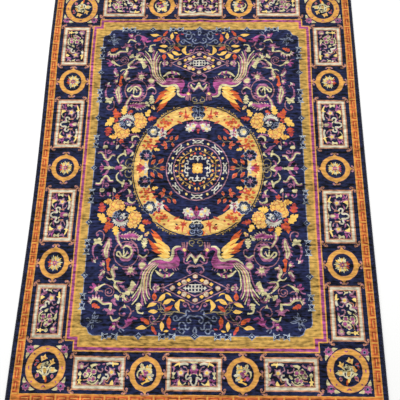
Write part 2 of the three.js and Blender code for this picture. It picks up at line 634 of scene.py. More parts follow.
    def near_garland(self, chart: Chart, squeeze: float) -> None:
        """Chart a garland that is alike above and below its own level line.

        Args:
            chart: A chart about the middle of the panel.
            squeeze: How much shorter than the longest such garland it is.
        """
        for hand in (False, True):
            own = chart.placed(0j, flip=hand, stretch=squeeze)
            own.line(ROSE, (9, 7, 8), -52+86j, -44+62j, -18+48j)
            own.line(CORAL, (8, 12, 8), -34+42j, -12+46j, 8+40j)
            own.line(ROSE, (7, 7), -20+50j, -14+84j)
            own.line(IVORY, (14, 18, 17), -66+44j, -74+78j, -68+118j)
            own.leaf(STRAW, -88+128j, -46+116j, 13)
            own.line(STRAW, (16, 13, 8), -72+122j, -66+146j, -54+170j)
            own.line(ROSE, (12, 12, 7), -56+170j, -40+166j, -10+174j)
            own.leaf(MAUVE, -56+184j, -34+152j, 14)
            own.fill(CREAM, [-14+188j, -12+150j, 2+160j, 10+168j, 28+158j, 36+170j, 30+188j, 12+176j])
            own.line(MAUVE, (16, 19, 12), 32+134j, 58+130j, 80+148j)
            own.line(MAGENTA, (14, 15, 8), 36+150j, 52+158j, 44+184j)
            own.line(ROSE, (7, 7), 62+150j, 80+184j)
            own.line(CREAM, (7, 8, 8), 58+62j, 74+86j, 76+112j)
            own.fill(STRAW, [36+118j, 56+110j, 74+94j, 80+132j, 56+130j])
            own.line(MAUVE, (9, 12, 10), 46+50j, 48+70j, 38+96j)
            own.line(ROSE, (7, 7), 20+118j, 34+124j)
            own.disc(MAGENTA, 40+30j, 10)
            own.leaf(CORAL, 54+38j, 80+36j, 15)
            own.line(IVORY, (14, 12, 12, 13, 14, 14, 14), 2+42j, 6+58j, 22+64j, 35+54j, 28+34j, 24+22j,
                     48+19j)
            own.line(IVORY, (14, 13, 13), 24+21j, 56+20j, 75+8j, 77+0j)
            own.line(CREAM, (8, 9, 9), 12+32j, -4+14j, -5+0j)
            rise = -109 if hand else 109
            self.flowers.starflower(chart, complex(-10, rise * squeeze - 2), 38, 5, 180)
        chart.disc(MAGENTA, -24+0j, 24, 5, 0.2, 36)
        chart.blob(ROSE, -72+0j, -60+17j, -32+15j, -22+0j, -34-15j, -60-17j)
        chart.blob(CREAM, -66+0j, -56+10j, -34+8j, -28+0j, -36-8j, -56-10j)
        chart.line(CREAM, (8, 8), -82-22j, -78+0j, -82+22j)

    def far_garland(self, chart: Chart) -> None:
        """Chart the long garland with a star at its near end and a peony at its far end."""
        chart.line(ROSE, (12, 15, 9), -62-172j, -42-152j, -16-156j)
        chart.fill(CREAM, [-14-172j, 8-160j, 22-164j, 24-152j, 6-148j, -12-136j, -2-155j])
        chart.leaf(IVORY, 28-168j, 46-150j, 18)
        chart.line(ROSE, (8, 9), 74-178j, 58-148j)
        chart.line(MAUVE, (18, 22, 14), 32-140j, 56-130j, 80-116j)
        chart.disc(ROSE, 54-150j, 9)
        chart.line(STRAW, (10, 17, 14), -64-144j, -68-122j, -68-100j)
        chart.leaf(STRAW, -84-98j, -46-108j, 16)
        chart.line(IVORY, (14, 18, 18), -68-98j, -70-78j, -62-54j)
        chart.leaf(MAUVE, -66-46j, -60-20j, 14)
        chart.line(ROSE, (7, 8, 7), -16-68j, -28-46j, -50-52j)
        self.flowers.starflower(chart, -8-96j, 39, 5, 78)
        chart.fill(STRAW, [46-104j, 66-116j, 80-112j, 78-84j, 60-92j])
        chart.line(CORAL, (8, 8, 8), 24-84j, 56-68j, 46-46j)
        chart.line(CORAL, (7, 8, 8), 78-82j, 74-56j, 58-40j)
        chart.line(MAUVE, (12, 14, 14), 36-42j, 60-42j, 82-36j)
        chart.line(IVORY, (12, 12, 13, 14, 15, 14, 10), 8-48j, 8-66j, 24-72j, 37-58j, 30-34j, 56-28j,
                   74-6j)
        chart.fill(CREAM, [2-14j, 16-18j, 24-12j, 38-2j, 32+4j, 34+12j, 12+4j, 10-6j])
        chart.line(ROSE, (10, 10, 10, 9, 8), -34-22j, -14-26j, -10-8j, -24+14j, -46+22j)
        chart.leaf(MAUVE, -64-8j, -54+26j, 17)
        chart.fill(CREAM, [-64+10j, -50+28j, -46+46j, -28+54j, -56+70j, -66+50j])
        chart.line(ROSE, (12, 13, 8), -66+82j, -52+96j, -44+118j)
        self.garland_peony(chart.placed(12+62j))
        chart.line(CREAM, (7, 11, 11, 7), 46+2j, 68+22j, 74+50j, 64+88j)
        chart.line(ROSE, (9, 9), 60-4j, 80+20j)
        chart.line(MAUVE, (14, 13, 8), 68+88j, 76+106j, 70+134j)
        chart.line(CORAL, (7, 7), 44+80j, 50+118j)
        chart.disc(MAUVE, -48+140j, 25, 8, 0.1)
        chart.disc(ROSE, -48+140j, 20)
        chart.leaf(CREAM, -58+134j, -28+134j, 26)
        chart.blob(CREAM, -10+144j, 6+130j, 24+142j, 8+158j)
        chart.leaf(STRAW, 20+142j, 44+140j, 11)
        chart.fill(STRAW, [38+142j, 52+126j, 60+136j, 80+130j, 72+146j, 82+160j, 62+150j, 50+162j])

    def garland_peony(self, chart: Chart) -> None:
        """Chart the peony of the long garland: five mauve lobes round cream petals."""
        for at, wide in ((-20-22j, 21), (28-20j, 21), (-28+16j, 22), (32+8j, 17), (0+38j, 20)):
            chart.disc(CREAM, at, wide, 5, 0.14, 20)
            chart.disc(MAUVE, at, wide * 0.76, 5, 0.12)
        for at, wide in ((-18-22j, 9), (30-18j, 10), (-26+18j, 11)):
            chart.disc(MAGENTA, at, wide)
        for base, tip, wide in ((-14-8j, 14+6j, 13), (-2+12j, 12+42j, 16), (4+14j, 24-2j, 12),
                                (-8-30j, 0-6j, 8), (-10+34j, -4+20j, 8)):
            chart.leaf(CREAM, base, tip, wide)
        chart.line(NAVY, (5, 5), -6-12j, 4-26j)
        chart.line(NAVY, (5, 5), 16+14j, 22+30j)


@dataclass
class Field:
    """The lines around the field, and its plain navy ground with the silver edge."""

    edge: complex = 868+1358j
    silver: float = 5.0
    notch: complex = 63+73j

    def draw(self, chart: Chart) -> None:
        """Chart the lines from the outside inwards, and the ornaments along the silver edge."""
        for corner, yarn in ((971+1473j, GOLD), (961+1464j, MAGENTA),
                             (939+1442j, GOLD), (926+1430j, TAN)):
            self.notched(chart, yarn, corner)
        self.ground(chart, PALE_BLUE, 0.0)
        self.ground(chart, INDIGO, self.silver)
        side = self.edge.real - 1
        for along in (0, 478, 905):
            self.diamond(chart.placed(complex(side, along)))
        for along in (255, 680, 1105):
            self.bracket(chart.placed(complex(side, along)))
        for across in (0, 410):
            self.diamond(chart.placed(complex(across, self.edge.imag + 2), 90))
        for across in (195, 632):
            self.bracket(chart.placed(complex(across, self.edge.imag + 4), 90))

    def notched(self, chart: Chart, yarn: Yarn, corner: complex) -> None:
        """Fill a rectangle whose corner steps in."""
        step = corner - self.notch
        chart.fill(yarn, [0j, corner.real + 0j, complex(corner.real, step.imag), step,
                          complex(step.real, corner.imag), complex(0, corner.imag)])

    def ground(self, chart: Chart, yarn: Yarn, inset: float) -> None:
        """Fill the field, with its doubly rounded corner, a little inside the silver edge."""
        side = self.edge.real - inset
        end = self.edge.imag - inset
        corner = smooth([complex(side, 1262), complex(side - 4, 1278), complex(side - 17, 1291),
                         complex(side - 40, 1298 - inset * 0.6)])[:-1]
        corner += smooth([complex(815 - inset, 1302), complex(806 - inset, 1322),
                          complex(796 - inset, 1344 - inset), complex(768, end)])
        chart.fill(yarn, [0j, side + 0j, *corner, complex(0, end)])

    def diamond(self, chart: Chart) -> None:
        """Chart the small diamond on the silver edge."""
        for size, yarn in ((30, PALE_BLUE), (22, NAVY), (10, SILVER), (4, NAVY)):
            chart.star(yarn, 0j, size, size * 0.62, 4, 0)

    def bracket(self, chart: Chart) -> None:
        """Chart the butterfly-shaped bracket on the silver edge: two flared feet and a knot."""
        for hand in (1, -1):
            for grow, yarn in ((0, SILVER), (7, NAVY)):
                foot = [complex(30 - grow, 62 - grow), complex(14 - grow * 0.6, 40), complex(24 - grow, 14)]
                outline = foot + [-spot.conjugate() for spot in foot[::-1]]
                chart.fill(yarn, [complex(spot.real, spot.imag * hand) for spot in outline])
            for yarn, width, wing, middle in ((SILVER, 6, 14+55j, 44), (PALE_BLUE, 7, 12+22j, 12)):
                chart.line(yarn, (width, width), complex(-wing.real, wing.imag * hand),
                           complex(0, middle * hand), complex(wing.real, wing.imag * hand))
        chart.disc(PALE_BLUE, 0j, 10)
        chart.disc(NAVY, 0j, 4)


@dataclass
class Medallion:
    """The round middle: rosette, bud rings, flower sprays and the gold ring."""

    outer_ring: complex = 256+286j
    inner_ring: complex = 195+226j
    ring_width: float = 9.0
    gold_outer: complex = 520+585j
    gold_inner: complex = 402+466j

    def draw(self, chart: Chart) -> None:
        """Chart the medallion from the gold ring inwards."""
        self.gold_ring(chart)
        half = self.ring_width / 2 * (1+1j)
        for reach in (self.outer_ring, self.inner_ring):
            chart.oval(ROSE, 0j, reach + half)
            chart.oval(INDIGO, 0j, reach - half)
        self.brackets(chart)
        self.bud_rings(chart)
        self.rosette(chart.placed(0j, stretch=1.12))
        self.sprays(chart)

    def gold_ring(self, chart: Chart) -> None:
        """Chart the gold ring, and the broken olive line outside it."""
        own = chart.placed(0j, stretch=self.gold_outer.imag / self.gold_outer.real)
        edge = self.gold_outer.real
        for low, high in ((2, 38), (50, 78)):
            own.line(TAN, (5, 6, 5), *[cmath.rect(edge + 12, math.radians(a)) for a in range(low, high, 4)])
        for first, count in ((21, 9), (56, 8)):
            for lump in range(count):
                at = cmath.rect(edge + 19 + 5 * math.sin(lump * 2.4), math.radians(first + 2.1 * lump))
                own.disc(OLIVE if lump % 3 else TAN, at, 6.5)
        chart.oval(HONEY, 0j, self.gold_outer)
        chart.oval(PEACH, 0j, self.gold_outer - 13-16j)
        chart.oval(INDIGO, 0j, self.gold_inner)
        for at, reach in ((276+446j, 66+34j), (426+236j, 40+66j)):
            chart.oval(HONEY, at, reach)
        for base, tip in ((120+548j, 190+532j), (150+480j, 210+500j), (484+20j, 480+80j)):
            chart.leaf(STRAW, base, tip, 18)

    def brackets(self, chart: Chart) -> None:
        """Chart the white double brackets and the yellow dots between the two rose rings."""
        middle = (self.inner_ring + self.outer_ring) / 2
        band = chart.placed(0j, stretch=middle.imag / middle.real)
        for spoke in range(8):
            own = band.placed(cmath.rect(middle.real - 1, spoke * math.pi / 4), 45 * spoke)
            for hand in (1, -1):
                side = [complex(hand * across, along) for across, along in
                        ((17, 45), (6, 26), (10, 0), (6, -26), (17, -45))]
                own.line(WHITE, (12, 8, 7, 8, 12), *side)
                own.line(WHITE, (8, 8), complex(-8, 20 * hand), complex(8, 20 * hand))
            band.disc(STRAW, cmath.rect(middle.real - 3, (spoke + 0.5) * math.pi / 4), 10)

    def bud_rings(self, chart: Chart) -> None:
        """Chart the twining stems inside the rings, with their two-coloured buds."""
        for path in ((148+0j, 151+44j, 140+84j, 104+124j, 62+150j, 30+164j),
                     (151+44j, 118+54j), (140+84j, 150+96j), (70+146j, 96+160j)):
            chart.line(TAN, (5, 6), *path)
        for at, degrees, length, width, cup, tip in (
            (14+188j, 90, 34, 16, YELLOW, APRICOT), (23+142j, 118, 28, 20, ORANGE, RED),
            (60+173j, 95, 38, 19, PEACH, STRAW), (51+128j, 140, 34, 20, PEACH, RED),
            (118+140j, 55, 36, 15, PEACH, APRICOT), (139+104j, -8, 38, 16, STRAW, ORANGE),
            (91+101j, 150, 32, 19, YELLOW, RED), (160+75j, 8, 36, 16, YELLOW, PEACH),
            (117+67j, 118, 40, 19, PEACH, GOLD), (173+25j, 150, 32, 18, STRAW, RED),
            (125+25j, 62, 34, 20, YELLOW, RED),
        ):
            own = chart.placed(at, degrees)
            own.leaf(cup, complex(-length / 2, 0), complex(length / 2, 0), width)
            own.leaf(tip, complex(-length * 0.15, 0), complex(length / 2, 0), width * 0.66)

    def rosette(self, chart: Chart) -> None:
        """Chart the gold rosette, and the four white scrolls around it."""
        for quarter in range(4):
            own = chart.placed(0j, 90 * quarter)
            for hand in (1, -1):
                own.line(WHITE, (9, 9, 10, 9), complex(77, 34 * hand), complex(92, 38 * hand),
                         complex(105, 24 * hand), complex(98, 3 * hand))
                own.line(WHITE, (9, 10), complex(79, 35 * hand), complex(77, 64 * hand))
                own.disc(WHITE, complex(86, 63 * hand), 8)
            own.line(WHITE, (9, 10, 15, 5), 100+0j, 84+0j, 74+0j, 56+0j)
            own.line(WHITE, (8, 8), 80-16j, 80+16j)
            chart.disc(GOLD, cmath.rect(36, math.pi * (quarter / 2 + 0.25)), 18)
        chart.disc(GOLD, 0j, 41, 8, 0.06)
        for petal in range(8):
            chart.disc(YELLOW, cmath.rect(27, math.pi * petal / 4), 14)
        chart.disc(STRAW, 0j, 22, 8, 0.12)
        chart.disc(AMBER, 0j, 7)

    def sprays(self, chart: Chart) -> None:
        """Chart the flowers and buds between the rings and the gold ring, and on the gold."""
        for path in ((398+0j, 350+6j, 310+2j, 286+8j), (372+4j, 330+22j, 308+60j),
                     (262+256j, 236+262j, 206+258j, 184+276j), (240+262j, 222+276j, 214+290j),
                     (206+258j, 202+240j), (340+4j, 352+40j)):
            chart.line(OLIVE, (4, 5), *path)
        for base, tip, wide in (
            (302+12j, 262+10j, 20), (312+44j, 276+96j, 33), (374+36j, 338+88j, 33),
            (378+128j, 342+106j, 24), (204+248j, 202+208j, 24), (178+272j, 158+320j, 29),
            (224+270j, 202+314j, 29),
            (358+270j, 304+252j, 24), (172+452j, 122+426j, 22), (246+300j, 270+292j, 20),
            (252+218j, 262+180j, 28), (256+222j, 302+234j, 26), (252+216j, 276+266j, 28),
        ):
            chart.leaf(APRICOT, base, tip, wide)
            chart.leaf(ORANGE, base, base + 0.6 * (tip - base), wide * 0.66)
            chart.leaf(RED, base + 0.3 * (tip - base), base + 0.95 * (tip - base), wide * 0.6)
        chart.frond(YELLOW, 358+190j, 304+174j, 38, 2)
        chart.frond(RED, 370+214j, 326+218j, 28, 2)
        chart.line(RED, (12, 19, 19, 13), 254+328j, 238+342j, 216+368j, 202+376j)
        self.ring_flowers(chart)
        self.lilies(chart)

    def ring_flowers(self, chart: Chart) -> None:
        """Chart the flowers on the gold ring."""
        for yarn, width, blades in (
            (ORANGE, 25, ((256+392j, 282+408j), (290+372j, 322+398j), (214+424j, 250+444j),
                          (254+430j, 286+424j), (300+420j, 316+452j), (270+470j, 300+460j),
                          (400+196j, 420+232j), (436+202j, 452+236j), (424+250j, 452+272j),
                          (380+266j, 408+282j), (370+232j, 392+208j),
                          (398+214j, 412+248j), (374+252j, 404+256j), (228+410j, 260+416j),
                          (262+448j, 294+438j), (318+396j, 344+410j))),
            (RED, 19, ((274+384j, 306+376j), (322+400j, 344+426j), (246+448j, 280+440j),
                       (288+440j, 312+432j), (204+452j, 222+470j), (232+486j, 260+490j),
                       (366+190j, 396+182j), (410+190j, 436+184j), (400+244j, 424+236j),
                       (440+226j, 466+214j), (404+296j, 428+306j), (388+290j, 372+272j),
                       (380+194j, 406+212j), (358+214j, 392+224j), (282+378j, 300+404j),
                       (234+424j, 264+430j))),
            (BRICK, 13, ((236+434j, 262+440j), (290+446j, 308+456j), (404+262j, 432+258j),
                         (414+212j, 420+190j), (262+402j, 286+394j))),
        ):
            for base, tip in blades:
                chart.leaf(yarn, base, tip, width, 3)
        chart.leaf(RED, 94+470j, 102+566j, 17)
        chart.star(ORANGE, 92+488j, 40, 14, 6, 20)
        chart.star(RED, 94+490j, 24, 9, 5, 40)
        chart.star(RED, 142+522j, 27, 12, 5, 100)
        chart.leaf(ORANGE, 116+516j, 146+524j, 14)
        chart.disc(ORANGE, 44+560j, 18, 5, 0.25)
        chart.leaf(APRICOT, 54+546j, 74+544j, 12)
        chart.leaf(MAUVE, 60+562j, 84+578j, 9)
        chart.leaf(NAVY, 134+500j, 156+484j, 13)
        for at, size in ((466+82j, 20), (480+126j, 14), (474+154j, 11)):
            chart.leaf(RED, at - 1j * size, at + 1j * size, 13, 3)
        for tip in (512-6j, 500+30j, 484+54j, 470+38j, 508+14j):
            chart.leaf(RED, 442+4j, tip, 22)
        chart.leaf(ORANGE, 470+6j, 500+10j, 9)
        chart.disc(MAGENTA, 438+2j, 18, 4, 0.2)
        chart.line(IVORY, (12, 24, 22, 12), 394+0j, 410+14j, 418+34j, 424+56j)
        chart.leaf(IVORY, 392+0j, 436+16j, 16)
        for yarn, out, radius in ((PALE_BLUE, 36+0j, 22), (NAVY, 37+0j, 16)):
            for number in range(7):
                chart.placed(422+126j, 10 + 360 * number / 7).disc(yarn, out, radius)
        chart.disc(NAVY, 422+126j, 27)
        chart.star(ROSE, 418+122j, 30, 13, 6, 30)
        chart.star(MAUVE, 416+122j, 15, 7, 5)
        own = chart.placed(366+352j)
        for yarn, out, radius in ((SLATE, 40, 20), (NAVY, 38, 16)):
            for number in range(8):
                own.disc(yarn, cmath.rect(out, math.pi * (number / 4 + 0.12)), radius)
        own.disc(PALE_BLUE, 0j, 38, 8, 0.1, 20)
        own.disc(NAVY, 0j, 34, 8, 0.1, 20)
        own.disc(IVORY, 2+0j, 29, 9, 0.1)
        own.disc(STRAW, 8+0j, 13)
        own = chart.placed(290+336j)
        for degrees, size in ((78, 54), (20, 44), (-25, 46), (-60, 52), (140, 50), (190, 42), (235, 50)):
            own.placed(0j, degrees).leaf(WHITE, 0j, complex(size, 0), 30)
        own.star(MAUVE, -6-12j, 22, 8, 4)
        own.leaf(MAGENTA, -4+8j, 4+56j, 24)
        own.leaf(RED, 0-10j, 16-22j, 16)
        own.leaf(RED, 4+0j, 20+20j, 14)
        self.palmette(chart)

    def palmette(self, chart: Chart) -> None:
        """Chart the navy palmette with its pale outlines, across the gold ring at the ends."""
        own = chart.placed(520j)
        for at, reach in ((22+36j, 28), (30-12j, 24), (0-20j, 40), (0+30j, 40)):
            own.disc(NAVY, at, reach)
        for at, reach in ((26+30j, 19), (24-22j, 17)):
            own.disc(PALE_BLUE, at, reach, 5, 0.12)
            own.disc(NAVY, at, reach - 6, 5, 0.12)
            own.disc(SLATE, at, 5)
        own.line(PALE_BLUE, (5, 6, 5), 0+50j, 16+60j, 40+58j)
        own.line(IVORY, (8, 9, 8), -2-40j, 14-34j, 18-52j)
        own.line(IVORY, (10, 13, 10), 0-62j, 20-56j, 36-62j)
        own.leaf(IVORY, 8-34j, 26-40j, 13)
        own.line(SLATE, (6, 6), 6-4j, 6+22j)

    def lilies(self, chart: Chart) -> None:
        """Chart the pair of white and magenta lilies below the middle."""
        own = chart.placed(52+396j)
        own.disc(MAUVE, -16+12j, 42, 8, 0.12)
        own.disc(WHITE, 10-8j, 37, 8, 0.14, 10)
        own.disc(WHITE, -16+8j, 28, 7, 0.16)
        for base, tip, width in ((-36-20j, -48+26j, 20), (-26+28j, -32+54j, 20), (0+32j, 10+54j, 18),
                                 (28+28j, 36+48j, 15), (-6-22j, -18-44j, 18), (12+8j, 4+34j, 17),
                                 (32-6j, 46+8j, 14)):
            own.leaf(MAGENTA, base, tip, width)
        for base, tip in ((4-4j, 18-32j), (-10+2j, -30+20j)):
            own.leaf(STRAW, base, tip, 22)
        chart.line(RED, (8, 18, 10), -2+336j, 0+356j, 2+378j)


@dataclass
class Phoenix:
    """The long-tailed bird beside the middle line, with its wing, streamers and crescent."""

    def draw(self, chart: Chart) -> None:
        """Chart the bird, with its tail over its body."""
        self.crescent(chart)
        self.body(chart)
        self.tail(chart)
        self.wing(chart)
        self.head(chart)

    def tail(self, chart: Chart) -> None:
        """Chart the streamers of the tail, cream and mauve by turns."""
        chart.blob(MAUVE, 308+824j, 344+872j, 360+950j, 358+1026j, 386+1050j, 408+1018j, 402+946j,
                   386+872j, 350+818j)
        for yarn, path in (
            (MAUVE, (348+818j, 400+860j, 418+930j, 446+996j)),
            (MAUVE, (312+830j, 348+890j, 352+970j, 346+1030j, 328+1072j)),
            (MAUVE, (326+826j, 370+890j, 378+980j, 374+1050j, 354+1100j)),
            (MAUVE, (338+822j, 390+880j, 400+980j, 398+1060j, 394+1132j)),
            (MAUVE, (398+960j, 428+1040j, 470+1100j)),
            (CREAM, (290+834j, 324+880j, 336+950j, 334+1000j, 318+1018j)),
            (CREAM, (304+828j, 346+880j, 364+960j, 360+1040j, 336+1086j)),
            (CREAM, (320+824j, 368+880j, 388+960j, 386+1050j, 362+1122j)),
            (CREAM, (334+818j, 388+880j, 404+960j, 410+1020j, 436+1086j, 474+1128j)),
            (CREAM, (400+936j, 416+990j, 444+1036j, 476+1078j)),
        ):
            widths = (3, 8, 10, 11, 10, 8) if yarn is CREAM else (3, 9, 11, 12, 11, 8)
            rump = () if path[0].real > 390 else ((path[0] * 0.6 + 0.4 * (252+772j)),)
            chart.line(yarn, widths, *rump, *path)
        chart.line(YELLOW, (2, 3, 4, 3), 330+834j, 366+886j, 380+956j, 376+1020j)

    def crescent(self, chart: Chart) -> None:
        """Chart the crescent below the body, and the two claws."""
        chart.line(CREAM, (10, 19, 22, 19, 8), 156+884j, 186+902j, 222+908j, 262+898j, 300+862j)
        for base, tip in ((184+884j, 194+912j), (216+894j, 232+922j)):
            chart.leaf(MAGENTA, base - 4j, tip + 4j, 22)
        for path in ((236+850j, 226+872j, 202+880j, 190+892j), (262+850j, 264+878j, 238+896j)):
            chart.line(OLD_ROSE, (8, 8, 6), *path)
        for base, tip in ((206+846j, 218+872j), (252+854j, 268+870j)):
            chart.leaf(CREAM, base, tip, 15)

    def body(self, chart: Chart) -> None:
        """Chart the neck and body, and the pale stripe along them."""
        for start, end in ((136+832j, 116+858j), (150+838j, 134+866j), (168+842j, 152+870j)):
            chart.line(OLD_ROSE, (7, 5), start, end)
        chart.line(MAGENTA, (24, 26, 36), 98+692j, 126+686j, 150+704j, 150+736j, 138+764j)
        chart.blob(MAGENTA, 152+730j, 124+752j, 112+790j, 122+828j, 156+846j, 214+848j, 264+846j, 300+820j,
                   344+826j, 318+794j, 270+780j, 220+792j, 182+790j, 166+762j, 168+736j)
        chart.leaf(MAUVE, 122+818j, 290+822j, 34, 4)
        for yarn, width in ((IVORY, (10, 18, 23, 23, 18, 13, 9)), (CREAM, (6, 13, 20, 20, 14, 10, 6))):
            chart.line(yarn, width, 108+674j, 142+674j, 166+700j, 168+746j, 194+782j, 250+772j, 304+776j,
                       340+800j, 354+820j)

    def wing(self, chart: Chart) -> None:
        """Chart the wing: a yellow blade with feathered fingers between orange ones."""
        for yarn, base, tip, width, bend in (
            (ORANGE, 244+656j, 348+530j, 30, -4), (ORANGE, 262+640j, 352+556j, 24, 2),
            (BRICK, 262+636j, 332+604j, 20, 0), (ORANGE, 270+690j, 374+606j, 22, 8),
            (ORANGE, 282+684j, 356+646j, 24, 4), (ORANGE, 258+712j, 346+674j, 24, 0),
            (ORANGE, 250+728j, 336+702j, 24, 0), (BRICK, 276+706j, 330+684j, 10, 0),
            (RED, 230+660j, 270+632j, 17, 0), (YELLOW, 206+690j, 326+600j, 40, 0),
            (YELLOW, 190+712j, 318+646j, 46, 0), (YELLOW, 186+736j, 290+700j, 44, 0),
            (YELLOW, 182+752j, 286+744j, 36, 4), (YELLOW, 184+756j, 250+762j, 20, 0),
            (PEACH, 186+712j, 236+650j, 26, 0), (ORANGE, 246+668j, 300+640j, 8, 0),
            (APRICOT, 244+700j, 312+664j, 8, 0), (ORANGE, 232+726j, 300+706j, 9, 0),
            (STRAW, 194+736j, 250+680j, 22, 0), (STRAW, 190+756j, 240+746j, 12, 0),
        ):
            chart.leaf(yarn, base, tip, width, bend)

    def head(self, chart: Chart) -> None:
        """Chart the head with its comb, eye spot and wattle."""
        for base, tip in ((66+690j, 60+636j), (80+686j, 84+636j), (92+688j, 98+640j)):
            chart.line(OLD_ROSE, (9, 13, 8), base, (base + tip) / 2, tip)
        chart.blob(MAUVE, 58+690j, 80+678j, 104+688j, 98+710j, 78+722j, 60+710j)
        chart.line(MAGENTA, (15, 15, 9), 76+716j, 74+734j, 76+752j)
        chart.line(OLD_ROSE, (8, 5), 64+700j, 50+706j)
        chart.disc(STRAW, 80+699j, 13, 4, 0.12)


